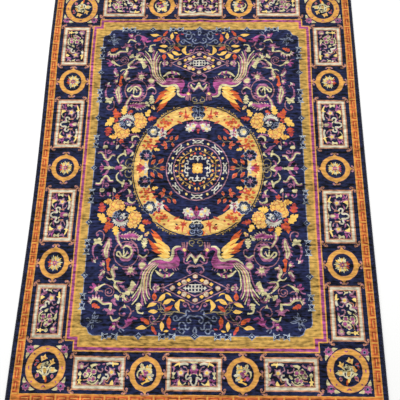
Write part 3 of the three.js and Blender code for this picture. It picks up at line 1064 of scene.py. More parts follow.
@dataclass
class Garden:
    """The motifs of the field's long sides and ends: bouquets, scrolls, lozenge and leaf sprays."""

    flowers: Flowers = field(default_factory=Flowers)

    def draw(self, chart: Chart) -> None:
        """Chart the motifs group by group."""
        self.finials(chart)
        self.side_scrolls(chart)
        self.circle_scroll(chart)
        self.bouquet(chart)
        self.lozenge(chart)
        self.fleur(chart)
        self.leaf_spray(chart)
        self.outer_scrolls(chart)
        self.corner(chart)

    def finials(self, chart: Chart) -> None:
        """Chart the thin gold scrolls on the two axes, outside the gold ring."""
        chart.curl(OLIVE, 24+640j, 28, 8, 100, -1.1)
        chart.line(OLIVE, (7, 7), 0+612j, 14+612j, 36+606j)
        own = chart.placed(555+0j)
        own.line(OLIVE, (8, 8, 8, 8), -34+10j, -30+54j, -6+88j, 30+76j, 38+34j, 20+14j)
        own.line(OLIVE, (7, 7), -14+8j, -16+34j, 6+36j, 14+16j)
        own.line(OLIVE, (6, 6), -30+4j, 0+6j, 34+4j)

    def side_scrolls(self, chart: Chart) -> None:
        """Chart the palmette and scrolls on the level axis."""
        flowers = self.flowers
        chart.fill(CREAM, [582+0j, 592+14j, 618+24j, 634+10j, 690+10j, 690+0j])
        chart.frond(MAGENTA, 616+0j, 690+0j, 60, 2)
        chart.line(MAUVE, (18, 16, 14, 18), 640+18j, 634+40j, 628+60j, 612+72j)
        chart.leaf(CREAM, 600+10j, 640+30j, 18)
        chart.line(CREAM, (8, 12, 13, 16, 20), 646+42j, 666+76j, 656+110j, 626+134j, 600+142j)
        chart.line(CREAM, (12, 22, 9), 596+112j, 604+142j, 610+176j)
        chart.line(CREAM, (8, 20, 8), 560+112j, 536+134j, 546+164j)
        for at, degrees, size in ((578+152j, 95, 1.2), (570+168j, 200, 1.4), (584+184j, 60, 1.4)):
            chart.placed(at, degrees, size).frond(MAUVE, -20+0j, 26+0j, 26, 2)
        chart.disc(MAGENTA, 576+172j, 17, 5, 0.2)
        chart.line(MAUVE, (10, 14, 8), 600+190j, 616+214j, 640+226j)
        chart.line(MAUVE, (10, 12, 6), 560+196j, 536+210j, 530+240j)
        chart.frond(MAUVE, 530+232j, 520+272j, 34, 2)
        chart.frond(MAUVE, 530+246j, 578+256j, 30, 2)
        chart.line(CREAM, (6, 18, 6), 562+196j, 542+214j, 544+240j)
        chart.line(CREAM, (6, 16, 20, 10), 490+296j, 516+312j, 548+298j, 552+262j)
        chart.comb(MAUVE, MAUVE, 30, 4, 488+300j, 516+326j, 560+324j, 588+306j)
        chart.fill(CREAM, [692+0j, 700+10j, 722+10j, 742+34j, 750+30j, 744+12j, 790+14j, 790+0j])
        chart.frond(MAGENTA, 776+0j, 822+0j, 56, 2)
        chart.leaf(ROSE, 796+20j, 806+46j, 14)
        chart.line(MAUVE, (16, 22, 18), 740+18j, 752+42j, 764+66j)
        chart.line(MAGENTA, (18, 8), 760+60j, 790+66j)
        for yarn, shift in ((MAUVE, -10), (CREAM, 0)):
            chart.line(yarn, (8, 14, 16, 14, 14, 8), 690+116j, 718+118j, 738+84j, 756+76j, 780+96j,
                       806+142j, 842+142j, shift=-shift)
        chart.line(MAUVE, (16, 12, 8), 774+112j, 776+146j, 780+184j)
        chart.curl(MAUVE, 744+162j, 24, 12, -20, -0.9, 10)
        chart.fill(CREAM, [758+196j, 772+188j, 800+188j, 802+204j, 794+222j, 766+218j])
        chart.line(MAUVE, (8, 10, 10, 12), 796+218j, 792+246j, 772+260j, 756+246j)
        chart.disc(MAUVE, 760+244j, 10)
        flowers.sprig(chart, 710+250j, -60, 1.3, MAUVE, CREAM)
        chart.frond(MAGENTA, 718+254j, 734+222j, 26, 2)
        chart.leaf(IVORY, 662+224j, 684+180j, 26, 4)
        chart.line(OLD_ROSE, (8, 8, 10), 688+216j, 682+250j, 684+290j)
        chart.line(OLD_ROSE, (8, 9, 9, 8, 10), 742+636j, 730+596j, 744+560j, 776+550j, 796+568j, 786+586j)
        chart.disc(MAUVE, 784+584j, 11)
        chart.line(MAUVE, (20, 16, 8), 790+650j, 812+684j, 812+730j, 800+764j)
        chart.frond(CREAM, 766+656j, 770+604j, 54, 2)
        chart.frond(CREAM, 760+650j, 816+616j, 40, 2)
        chart.line(CREAM, (12, 26, 14), 742+664j, 776+640j, 814+660j)

    def circle_scroll(self, chart: Chart) -> None:
        """Chart the round scroll with its looped leaf, and the feathery leaf above it."""
        ring = chart.placed(538+736j, stretch=1.02)
        for radius, yarn in ((102, OLD_ROSE), (95, INDIGO)):
            ring.disc(yarn, 0j, radius)
        chart.comb(MAUVE, MAGENTA, 70, 9, 600+590j, 552+594j, 500+584j, 440+606j, tips=CREAM)
        chart.line(MAGENTA, (8, 20, 26, 22, 10), 598+590j, 552+594j, 500+585j, 450+602j)
        chart.line(OLD_ROSE, (9, 9, 8), 508+624j, 470+652j, 448+690j, 440+740j)
        for yarn, widths in ((MAUVE, (44, 34, 22, 12)), (CREAM, (18, 14, 13, 10))):
            chart.line(yarn, widths, 616+556j, 620+600j, 600+648j, 566+690j)
        chart.line(OLD_ROSE, (9, 9, 9), 610+660j, 630+690j, 640+730j, 634+770j)
        chart.comb(MAUVE, MAUVE, 52, 7, 584+690j, 530+660j, 484+690j, 486+746j)
        chart.line(MAUVE, (18, 26, 22, 12), 486+740j, 516+778j, 566+780j, 600+748j)
        chart.line(CREAM, (12, 15, 15, 14, 13, 9), 566+690j, 546+672j, 506+684j, 496+730j, 528+766j,
                   566+756j, 590+726j)
        chart.line(CREAM, (10, 12, 12, 8), 560+700j, 556+750j, 540+740j, 530+712j)
        chart.line(CREAM, (12, 13, 11), 574+754j, 596+720j, 614+724j, 610+746j, 580+766j)
        chart.leaf(ROSE, 518+738j, 536+718j, 13)
        chart.star(MAUVE, 404+762j, 44, 24, 7, 90)
        chart.disc(INDIGO, 404+736j, 30)
        chart.line(CREAM, (7, 13, 7), 366+742j, 400+762j, 438+740j)
        chart.line(OLD_ROSE, (8, 9, 9), 366+744j, 358+716j, 372+696j, 388+706j)
        chart.disc(MAUVE, 386+706j, 10)
        chart.comb(CREAM, CREAM, 56, 4, 394+690j, 396+650j, 392+606j)
        chart.leaf(ROSE, 394+640j, 396+622j, 9)
        chart.frond(CREAM, 448+628j, 412+580j, 34, 2)
        chart.frond(PEACH, 396+590j, 362+554j, 34, 2)
        chart.leaf(MAUVE, 374+572j, 400+592j, 12)
        chart.disc(MAUVE, 403+826j, 34)
        chart.disc(CREAM, 403+826j, 25)
        chart.line(CREAM, (9, 10), 402+856j, 402+880j)
        chart.star(MAUVE, 498+870j, 52, 30, 9, 12)
        chart.leaf(MAUVE, 470+870j, 438+896j, 24)
        chart.leaf(MAUVE, 520+860j, 564+850j, 24)
        chart.star(CREAM, 496+862j, 33, 17, 7, 40)

    def bouquet(self, chart: Chart) -> None:
        """Chart the large bouquet of peonies beside the gold ring."""
        chart.frond(YELLOW, 556+380j, 478+358j, 60, 3, 4)
        for yarn, base, tip, width, teeth in (
            (YELLOW, 556+386j, 540+338j, 34, 2), (YELLOW, 440+494j, 404+556j, 56, 2),
            (RED, 424+468j, 346+482j, 50, 3), (ORANGE, 420+466j, 376+474j, 24, 2),
            (YELLOW, 640+508j, 636+588j, 64, 3), (RED, 602+516j, 556+544j, 40, 2),
            (ORANGE, 590+520j, 572+552j, 26, 2), (RED, 664+250j, 622+262j, 34, 2),
        ):
            chart.frond(yarn, base, tip, width, teeth)
        chart.star(ORANGE, 646+262j, 32, 12, 5, 64)
        chart.star(RED, 642+260j, 18, 8, 5, 100)
        chart.frond(YELLOW, 686+302j, 760+306j, 52, 3)
        chart.frond(GOLD, 714+324j, 724+276j, 50, 2)
        chart.frond(RED, 762+394j, 776+306j, 74, 3)
        chart.leaf(ORANGE, 764+392j, 768+344j, 24)
        for yarn, base, tip, width, teeth in (
            (YELLOW, 724+478j, 802+404j, 66, 3), (YELLOW, 736+484j, 762+400j, 56, 2),
            (RED, 724+444j, 682+460j, 36, 2), (RED, 660+494j, 742+540j, 56, 3),
            (ORANGE, 700+470j, 720+566j, 54, 3),
        ):
            chart.frond(yarn, base, tip, width, teeth)
        chart.star(ORANGE, 702+498j, 42, 15, 6, 20)
        chart.star(RED, 706+508j, 22, 9, 5, 60)
        self.flowers.peony(chart, 686+392j, 42, 5, 30)
        self.flowers.peony(chart, 642+346j, 68, 7, 12, 0.92)
        self.flowers.peony(chart, 516+496j, 30, 5, 20)
        self.flowers.peony(chart, 486+442j, 58, 7, 0, 1.08)
        chart.frond(PEACH, 470+494j, 486+528j, 34, 2)
        self.lotus(chart.placed(602+440j))

    def lotus(self, chart: Chart) -> None:
        """Chart the white lotus with its grey-blue outlines."""
        chart.disc(NAVY, 4+0j, 66, 9, 0.08)
        for at, radius in ((-44-22j, 18), (40-36j, 22), (58+4j, 20), (-52+22j, 16), (24-48j, 16)):
            chart.disc(SLATE, at, radius, 5, 0.12)
            chart.disc(NAVY, at, radius - 6, 5, 0.12)
        chart.curl(PALE_BLUE, 44-20j, 28, 7, -60, 1.1)
        chart.line(SLATE, (7, 7), -44+46j, -34+76j, -10+84j)
        chart.frond(WHITE, 0-2j, -28-40j, 44, 3)
        chart.frond(WHITE, -12+6j, -46-8j, 26, 2)
        for tooth in range(9):
            foot = cmath.rect(44, math.radians(30 + 15 * tooth)) * (1.25-0.1j)
            chart.leaf(WHITE, foot, foot * 1.42, 11)
        chart.line(WHITE, (8, 24, 32, 24, 8), -58+16j, -34+38j, 2+50j, 38+38j, 64+12j)
        chart.line(MAUVE, (8, 12, 8), -26+10j, -2+31j, 26+22j, 36+6j)
        for yarn, radius in ((SLATE, 20), (NAVY, 15), (WHITE, 9)):
            chart.disc(yarn, 0j, radius)

    def lozenge(self, chart: Chart) -> None:
        """Chart the double lozenge with its lattice, dots and end buds."""
        own = chart.placed(1000j)
        for width, length, yarn in ((243, 124, ROSE), (227, 116, INDIGO), (126, 65, ROSE),
                                    (110, 57, INDIGO)):
            own.fill(yarn, [width + 0j, complex(0, length), -width + 0j, complex(0, -length)])
        for row in (-26, 0, 26):
            reach = 44 if row else 62
            own.line(WHITE, (8, 8), complex(-reach, row), complex(reach, row))
        for column in (0, 22, 44):
            own.line(WHITE, (8, 8), complex(column, -34 + column * 0.4), complex(column, 34 - column * 0.4))
        own.star(WHITE, 66+0j, 18, 8, 4, 0)
        for at, radius in ((162+0j, 20), (75+46j, 21), (75-46j, 21), (0+92j, 17), (0-92j, 17)):
            own.disc(CORAL, at, radius, 8, 0.06)
            own.disc(IVORY, at, radius * 0.8)
            own.star(RED, at, radius * 0.75, radius * 0.22, 4, 45)
            own.disc(IVORY, at, radius * 0.3)
        for at in (44+64j, 44-62j, 112+33j, 112-31j):
            own.disc(YELLOW, at, 13, 4, 0.12, 0)
        for hand in (1, -1):
            own.curl(OLD_ROSE, complex(240, 22 * hand), 15, 8, -90 * hand, -0.8 * hand, 6)
        own.line(OLD_ROSE, (7, 7), 226+0j, 268+0j)
        for tip, width in ((306+34j, 34), (306-34j, 34), (320+0j, 50)):
            own.frond(MAUVE, 262+0j, tip, width, 2)
        own.leaf(CREAM, 258+0j, 292+0j, 38)
        own.leaf(MAUVE, 264+0j, 300+0j, 12)
        own.line(IVORY, (5, 5), 296-18j, 308+0j, 296+18j)
        chart.line(OLD_ROSE, (7, 9, 9, 8), 0+1172j, 22+1168j, 38+1136j, 52+1110j, 76+1112j, 80+1130j,
                   62+1136j)
        chart.disc(MAUVE, 64+1134j, 10)
        chart.disc(MAUVE, 14+1140j, 9)

    def fleur(self, chart: Chart) -> None:
        """Chart the motif between the two birds."""
        chart.line(MAUVE, (14, 18, 16, 8), 0+760j, 34+738j, 66+760j, 92+762j)
        chart.frond(MAUVE, 40+744j, 34+716j, 22, 2)
        chart.line(CREAM, (10, 16, 14, 10), 2+800j, 12+764j, 34+744j, 52+764j, 60+788j)
        chart.leaf(IVORY, 28+756j, 30+728j, 20)
        chart.line(MAUVE, (12, 10, 8), 80+764j, 80+796j, 62+808j, 46+796j, 28+786j)
        chart.line(OLD_ROSE, (8, 8), 60+806j, 32+818j)
        chart.line(ROSE, (16, 14, 8, 8), 0+834j, 22+822j, 48+834j, 58+862j, 44+880j)
        chart.disc(MAUVE, 38+876j, 12, 4, 0.1)
        chart.leaf(CREAM, 0+812j, 0+762j, 14)

    def leaf_spray(self, chart: Chart) -> None:
        """Chart the spray of yellow and orange leaves with its olive stems, and the round scroll."""
        ring = chart.placed(284+1188j)
        scroll = [cmath.rect(86 - 2 * k, math.radians(-52 - 26 * k)) for k in range(10)]
        ring.line(OLD_ROSE, (9, 9, 9, 9, 9, 9), *scroll)
        ring.line(OLD_ROSE, (9, 9, 8), -10+84j, 24+78j, 44+56j, 44+30j, 22+22j, 12+44j)
        ring.disc(MAUVE, 14+42j, 10)
        for path in ((60+1194j, 100+1186j, 150+1180j, 220+1186j, 250+1176j, 272+1130j),
                     (110+1174j, 170+1178j, 240+1160j, 290+1176j), (238+1070j, 250+1130j, 244+1170j),
                     (150+1184j, 176+1196j, 230+1200j), (160+1194j, 182+1216j, 186+1236j),
                     (248+1200j, 272+1236j, 302+1254j, 304+1280j), (312+1272j, 340+1290j, 366+1298j),
                     (206+1190j, 246+1140j)):
            chart.line(OLIVE, (6, 5), *path)
        for yarn, vein, base, tip, width, bend in (
            (YELLOW, None, 166+1064j, 226+1046j, 12, -14),
            (YELLOW, PEACH, 216+1044j, 272+1102j, 38, 4),
            (YELLOW, None, 142+1098j, 190+1090j, 14, -4),
            (YELLOW, PEACH, 166+1082j, 234+1126j, 36, 0),
            (YELLOW, None, 66+1102j, 118+1092j, 14, -6),
            (YELLOW, PEACH, 104+1086j, 104+1180j, 38, -22),
            (YELLOW, PEACH, 278+1118j, 356+1148j, 30, -6),
            (YELLOW, PEACH, 270+1178j, 344+1178j, 32, 0),
            (YELLOW, PEACH, 236+1250j, 232+1326j, 34, 0),
            (YELLOW, None, 182+1318j, 222+1326j, 16, 0),
            (YELLOW, PEACH, 350+1300j, 434+1304j, 34, -6),
            (ORANGE, RED, 298+1096j, 300+1034j, 40, 0),
            (ORANGE, RED, 220+1178j, 156+1130j, 32, 0),
            (ORANGE, None, 182+1216j, 186+1300j, 36, 0),
            (RED, None, 196+1262j, 172+1312j, 22, 0),
            (RED, None, 128+1304j, 160+1310j, 14, 0),
            (ORANGE, None, 328+1274j, 384+1228j, 36, 0),
            (RED, None, 366+1246j, 404+1228j, 30, 0),
            (ORANGE, None, 314+1284j, 282+1336j, 28, 0),
            (RED, None, 292+1316j, 274+1352j, 22, 0),
        ):
            chart.leaf(yarn, base, tip, width, bend, vein)
        self.slate_scrolls(chart)

    def slate_scrolls(self, chart: Chart) -> None:
        """Chart the grey-blue scrolls at the middle of the ends."""
        chart.line(SLATE, (12, 10, 12), 56+1200j, 100+1226j, 126+1248j)
        chart.curl(SLATE, 132+1226j, 24, 10, 110, -1.0)
        chart.line(SLATE, (10, 10), 56+1200j, 62+1176j, 48+1166j, 36+1178j)
        chart.line(SLATE, (10, 11, 10, 9), 0+1214j, 34+1208j, 56+1236j, 40+1262j, 24+1250j, 34+1232j)
        chart.line(SLATE, (10, 11, 11, 10), 62+1310j, 64+1276j, 86+1252j, 108+1270j, 108+1304j)
        chart.disc(SLATE, 88+1322j, 22, 6, 0.12)
        chart.disc(NAVY, 88+1322j, 13)
        chart.line(SLATE, (8, 10), 108+1316j, 134+1318j)
        chart.line(SLATE, (9, 10, 8), 34+1292j, 46+1310j, 62+1304j)
        chart.line(SLATE, (9, 9), 0+1290j, 10+1320j, 2+1344j)

    def outer_scrolls(self, chart: Chart) -> None:
        """Chart the leaves and scrolls of the outer part of the field."""
        flowers = self.flowers
        chart.comb(MAUVE, MAUVE, 78, 8, 686+604j, 690+660j, 708+716j, 696+772j)
        chart.line(CREAM, (12, 34, 38, 16), 688+616j, 692+664j, 706+712j, 696+768j)
        chart.line(MAUVE, (3, 8, 8, 3), 692+640j, 696+680j, 706+716j, 700+748j)
        chart.fill(ORANGE, [680+764j, 660+782j, 672+800j, 676+840j, 660+852j, 664+872j, 682+872j, 690+848j,
                            694+806j, 702+786j])
        chart.leaf(RED, 682+810j, 682+776j, 18)
        flowers.tulip(chart, 722+816j, -30, 1.0)
        flowers.tulip(chart, 790+790j, -70, 1.1, MAUVE, IVORY)
        chart.line(OLD_ROSE, (7, 8), 716+828j, 704+862j)
        chart.disc(NAVY, 774+790j, 12)
        flowers.tulip(chart, 716+880j, 20, 1.0)
        chart.frond(MAUVE, 730+888j, 738+950j, 50, 3)
        chart.leaf(IVORY, 726+878j, 744+916j, 16)
        for yarn, widths, shift in ((ROSE, (12, 26, 30, 12), 8), (CREAM, (8, 18, 22, 12), 0)):
            chart.line(yarn, widths, 598+846j, 634+842j, 648+870j, 632+912j, 640+930j, shift=shift)
        chart.frond(ROSE, 644+856j, 630+816j, 24, 2)
        chart.line(CREAM, (12, 10, 6), 626+926j, 650+936j, 676+930j, 688+916j)
        chart.line(OLD_ROSE, (6, 10, 8), 650+916j, 672+886j, 690+878j)
        chart.line(CREAM, (8, 14, 20, 14, 8), 640+934j, 616+952j, 618+982j, 592+1010j, 562+1040j)
        chart.line(CREAM, (12, 9, 6), 612+952j, 580+952j, 548+956j)
        chart.line(MAUVE, (6, 10, 12), 536+952j, 570+964j, 600+962j)
        chart.line(OLD_ROSE, (8, 10, 7), 604+972j, 582+1004j, 574+1026j)
        chart.frond(MAUVE, 536+1000j, 582+980j, 26, 2)
        chart.comb(CREAM, CREAM, 66, 7, 480+946j, 472+986j, 490+1022j, 524+1046j)
        chart.comb(CREAM, CREAM, 44, 5, 508+1036j, 542+1050j, 544+1080j, 512+1098j)
        chart.frond(MAUVE, 462+1020j, 452+978j, 28, 2)
        chart.frond(ROSE, 486+1016j, 448+1024j, 22, 2)
        chart.frond(ROSE, 508+1020j, 548+1008j, 30, 2)
        chart.line(MAUVE, (10, 14, 12, 8), 546+1080j, 520+1108j, 488+1096j, 484+1068j)
        chart.line(OLD_ROSE, (6, 10, 6), 516+1064j, 508+1086j, 494+1090j)
        self.tail_foot(chart)
        chart.curl(OLD_ROSE, 660+1030j, 44, 8, -90, -1.7, 9)
        chart.line(OLD_ROSE, (8, 8), 660+986j, 684+974j, 700+978j)
        self.acanthus(chart)

    def tail_foot(self, chart: Chart) -> None:
        """Chart the flower that hangs from the bird's tail, and the spiral beside it."""
        chart.frond(MAUVE, 398+1080j, 384+1140j, 26, 2)
        chart.frond(CREAM, 414+1112j, 428+1170j, 56, 2)
        chart.leaf(MAUVE, 408+1130j, 396+1158j, 14)
        chart.line(CREAM, (12, 12, 8), 432+1160j, 420+1186j, 384+1192j)
        chart.disc(CREAM, 386+1190j, 8)
        ring = chart.placed(524+1184j)
        scroll = [cmath.rect(50 - k, math.radians(130 + 32 * k)) for k in range(8)]
        ring.line(OLD_ROSE, (9, 9, 9, 9), *scroll)
        ring.line(OLD_ROSE, (9, 9, 9), 46+4j, 34+22j, 12+26j, 4+16j)
        ring.disc(MAUVE, 6+16j, 13)
        chart.star(CREAM, 530+1142j, 20, 8, 3, 30)
        chart.line(OLD_ROSE, (9, 9), 488+1206j, 470+1180j, 452+1172j)
        chart.fill(MAGENTA, [420+1232j, 440+1222j, 462+1216j, 478+1232j, 494+1216j, 504+1228j, 504+1246j,
                             524+1240j, 516+1262j, 508+1272j, 520+1296j, 496+1290j, 468+1268j, 444+1258j,
                             466+1254j, 458+1236j, 430+1240j])
        chart.line(MAUVE, (14, 12, 12, 14), 508+1278j, 530+1298j, 562+1296j, 578+1272j, 570+1248j)

    def acanthus(self, chart: Chart) -> None:
        """Chart the tulips, crested leaf and bells near the corner."""
        flowers = self.flowers
        chart.frond(MAUVE, 570+1250j, 604+1248j, 30, 2)
        chart.line(CREAM, (10, 14, 10), 558+1222j, 582+1240j, 616+1246j, 636+1214j)
        flowers.tulip(chart, 606+1292j, 40, 0.9)
        chart.frond(MAGENTA, 592+1264j, 640+1318j, 40, 3)
        chart.leaf(CREAM, 598+1282j, 618+1298j, 16)
        chart.frond(CREAM, 612+1050j, 578+1096j, 34, 2)
        chart.fill(CREAM, [570+1056j, 586+1062j, 610+1054j, 604+1074j, 590+1092j, 580+1094j])
        chart.line(MAUVE, (14, 26, 20, 8), 606+1078j, 616+1104j, 604+1126j, 588+1134j)
        chart.frond(MAUVE, 610+1090j, 640+1102j, 34, 2)
        chart.line(OLD_ROSE, (7, 7), 552+1046j, 574+1056j)
        chart.fill(CREAM, [630+1116j, 646+1112j, 650+1150j, 666+1182j, 620+1182j, 630+1150j])
        for base, tip, width in ((640+1172j, 590+1170j, 22), (640+1176j, 690+1162j, 24),
                                 (640+1176j, 610+1206j, 24), (640+1176j, 664+1210j, 24),
                                 (640+1176j, 638+1212j, 20)):
            chart.leaf(MAUVE, base, tip, width)
        chart.line(MAUVE, (12, 12, 8), 660+1180j, 684+1162j, 698+1172j)
        for yarn, widths, shift in ((MAUVE, (8, 14, 18, 12, 8), 8), (CREAM, (10, 14, 16, 13, 8), 0)):
            chart.line(yarn, widths, 642+1120j, 700+1122j, 744+1092j, 786+1092j, 802+1124j, shift=-shift)
        for base, tip in ((714+1100j, 712+1066j), (736+1092j, 738+1052j), (758+1086j, 764+1050j),
                          (784+1088j, 786+1050j), (798+1096j, 822+1072j), (804+1108j, 826+1106j)):
            chart.leaf(MAUVE, base, tip, 20)
            chart.leaf(IVORY, base, base + 0.55 * (tip - base), 14)
        chart.frond(ORANGE, 790+1128j, 722+1154j, 42, 3)
        chart.star(RED, 768+1136j, 22, 11, 5, 30)
        chart.line(CREAM, (8, 12, 24), 694+972j, 726+984j, 758+1010j)
        chart.star(CREAM, 764+1010j, 24, 14, 5, 0)
        chart.frond(MAGENTA, 768+1000j, 800+964j, 36, 2)
        chart.frond(MAGENTA, 776+1006j, 820+996j, 30, 2)
        chart.line(MAUVE, (12, 10, 7), 784+1012j, 800+1034j, 826+1038j)
        chart.line(OLD_ROSE, (10, 9, 7), 744+1026j, 726+1024j, 706+1036j)
        chart.leaf(ROSE, 756+1024j, 762+1062j, 18)
        chart.leaf(MAUVE, 752+990j, 740+966j, 16)

    def corner(self, chart: Chart) -> None:
        """Chart the outlined grey-blue flower in the corner of the field."""
        own = chart.placed(768+1248j)
        for base, tip, width in ((8-6j, -10-70j, 24), (0-2j, -46-44j, 26), (-6+4j, -72+6j, 22),
                                 (24-2j, 60-16j, 26), (0+22j, 6+68j, 24), (20+14j, 50+60j, 16)):
            own.leaf(SLATE, base, tip, width)
            own.leaf(NAVY, base + 0.25 * (tip - base), base + 0.8 * (tip - base), width * 0.4)
        own.disc(SLATE, 10+6j, 18, 5, 0.15)
        own.disc(NAVY, 10+6j, 8)
        chart.line(SLATE, (8, 8), 520+1322j, 548+1304j, 560+1316j, 540+1334j)


def ramp(value: float, start: float, reach: float) -> float:
    """Rise from 0 at the start to 1 a reach further on."""
    return min(1.0, max(0.0, (value - start) / reach))


@dataclass
class ClothShape:
    """How the woven cloth lies: its drawn-in sides, its uneven lines and its ridge. In mm."""

    half_width: float = 1370.0
    half_length: float = 1870.0
    selvedge: float = 10.0
    seam_gap: float = 0.3
    drawn_in: dict[Side, float] = field(default_factory=lambda: {Side.LEFT: 24.0, Side.RIGHT: 5.0})
    deepest_at: dict[Side, float] = field(default_factory=lambda: {Side.LEFT: -280.0, Side.RIGHT: 0.0})
    reach: dict[Side, float] = field(default_factory=lambda: {Side.LEFT: 1750.0, Side.RIGHT: 1800.0})
    ridge_height: float = 20.0
    ridge_half_width: float = 90.0
    ridge_start: float = 350.0
    middle_shift: float = -14.0
    spread: float = 42.0
    spread_to: float = 860.0
    round_middle: float = 262.0
    round_stretch: float = 1.06
    round_fade: float = 50.0
    far_spread: float = 9.0
    far_from: float = 600.0
    far_fade: complex = 800+500j
    rim_from: float = 1330.0
    packed_all: float = -4.0
    packed: float = -27.0
    packed_at: float = 350.0
    packed_reach: float = 320.0
    end_packed: float = 7.0
    end_from: float = 1200.0
    end_reach: float = 300.0
    end_still: float = 100.0
    lean: float = 7.0
    wandering: float = 1.3
    unevenness: float = 1.0

    def side_edge(self, side: Side, along: float) -> float:
        """Get the distance of a side's outer edge from the middle line at a place along the rug."""
        return self.half_width - self.narrowing(side, along)

    def narrowing(self, side: Side, along: float) -> float:
        """Get how far a side is drawn in at a place along the rug."""
        t = min(1.0, abs(along - self.deepest_at[side]) / self.reach[side])
        return self.drawn_in[side] * math.cos(math.pi / 2 * t) ** 2

    def lift(self, across: float, along: float) -> float:
        """Get how far the cloth stands off the floor."""
        near = max(0.0, 1 - abs(across) / self.ridge_half_width)
        far = max(0.0, (along - self.ridge_start) / (self.half_length - self.ridge_start))
        return self.ridge_height * near ** 1.5 * far ** 1.5

    def swell(self, across: float, along: float) -> float:
        """Get how far the pile's face stands above or below its mean height: long, slow waves."""
        waves = (math.sin(across / 210 + 1.3) * math.sin(along / 260 + 0.4),
                 math.sin(across / 120 - along / 340 + 2.0), math.sin(along / 95 + across / 500))
        return 0.5 * waves[0] + 0.3 * waves[1] + 0.2 * waves[2]

    def place(self, across: float, along: float) -> complex:
        """Take a place of the even chart to where the uneven weaving put it.

        Args:
            across: The charted distance from the middle line.
            along: The charted distance from the middle, towards the far end.

        Returns:
            The place on the cloth.
        """
        side = Side.RIGHT if across > 0 else Side.LEFT
        out = abs(across)
        u = out / self.half_width
        v = along / self.half_length
        t = min(1.0, out / self.spread_to)
        from_middle = abs(complex(across, along / self.round_stretch))
        outside = ramp(from_middle, self.round_middle, self.round_fade)
        far = ramp(along, self.far_from, self.far_fade.imag) * ramp(out, 0.0, self.far_fade.real)
        to_rim = min(1.0, (self.half_width - out) / (self.half_width - self.rim_from))
        wider = self.spread * t ** 0.6 * (1 - t) ** 1.5 * outside + self.far_spread * far * to_rim
        wider -= self.narrowing(side, along) * u ** 4 + (self.selvedge + self.seam_gap) * (1 - to_rim)
        shift = self.middle_shift * max(0.0, 1 - u * u) ** 1.5
        to_end = min(1.0, (self.half_length - abs(along)) / self.end_still)
        packed = self.packed_all
        packed += self.packed * math.exp(-((along - self.packed_at) / self.packed_reach) ** 2)
        packed -= (self.end_packed * ramp(along, self.end_from, self.end_reach)
                   + self.lean * side.value * u * v)
        free = max(0.0, 1 - u ** 8) * to_end
        # The weaver's hand: a slow wandering of the lines, and a quick unevenness from row to row
        wander = complex(math.sin(along / 270 + 0.7) + 0.6 * math.sin(along / 120 + across / 300),
                         math.sin(across / 310 - 0.5) + 0.6 * math.sin(across / 140 + along / 400))
        jog = complex(
            math.sin(along / 8.3 + math.sin(across / 31)) + 0.6 * math.sin(along / 4.1 + across / 23),
            math.sin(across / 8.9 + math.sin(along / 37)) + 0.6 * math.sin(across / 4.7 + along / 19),
        )
        spot = complex(side.value * (out + wider) + shift, along + packed * to_end)
        return spot + (self.wandering * wander + self.unevenness * jog) * free


def winding(spots: np.ndarray, outline: np.ndarray) -> np.ndarray:
    """Find which spots an outline goes round.

    Args:
        spots: The spots, one complex number each.
        outline: The outline's corners, one complex number each.

    Returns:
        True for each spot inside the outline.
    """
    start = outline[None, :]
    end = np.roll(outline, -1)[None, :]
    spot = spots[:, None]
    lean = ((end - start).conjugate() * (spot - start)).imag
    rises = (start.imag <= spot.imag) & (end.imag > spot.imag) & (lean > 0)
    falls = (start.imag > spot.imag) & (end.imag <= spot.imag) & (lean < 0)
    return (rises.sum(1) - falls.sum(1)) != 0


def to_object(bm: bmesh.types.BMesh, name: str) -> bpy.types.Object:
    """Turn a mesh in millimetres into a smooth Blender object in metres.

    Args:
        bm: The mesh, which is freed.
        name: The object's name.

    Returns:
        The object, linked into the scene.
    """
    bmesh.ops.scale(bm, vec=(MM, MM, MM), verts=bm.verts)
    mesh = bpy.data.meshes.new(name)
    bm.to_mesh(mesh)
    bm.free()
    mesh.polygons.foreach_set("use_smooth", [True] * len(mesh.polygons))
    piece = bpy.data.objects.new(name, mesh)
    bpy.context.collection.objects.link(piece)
    return piece


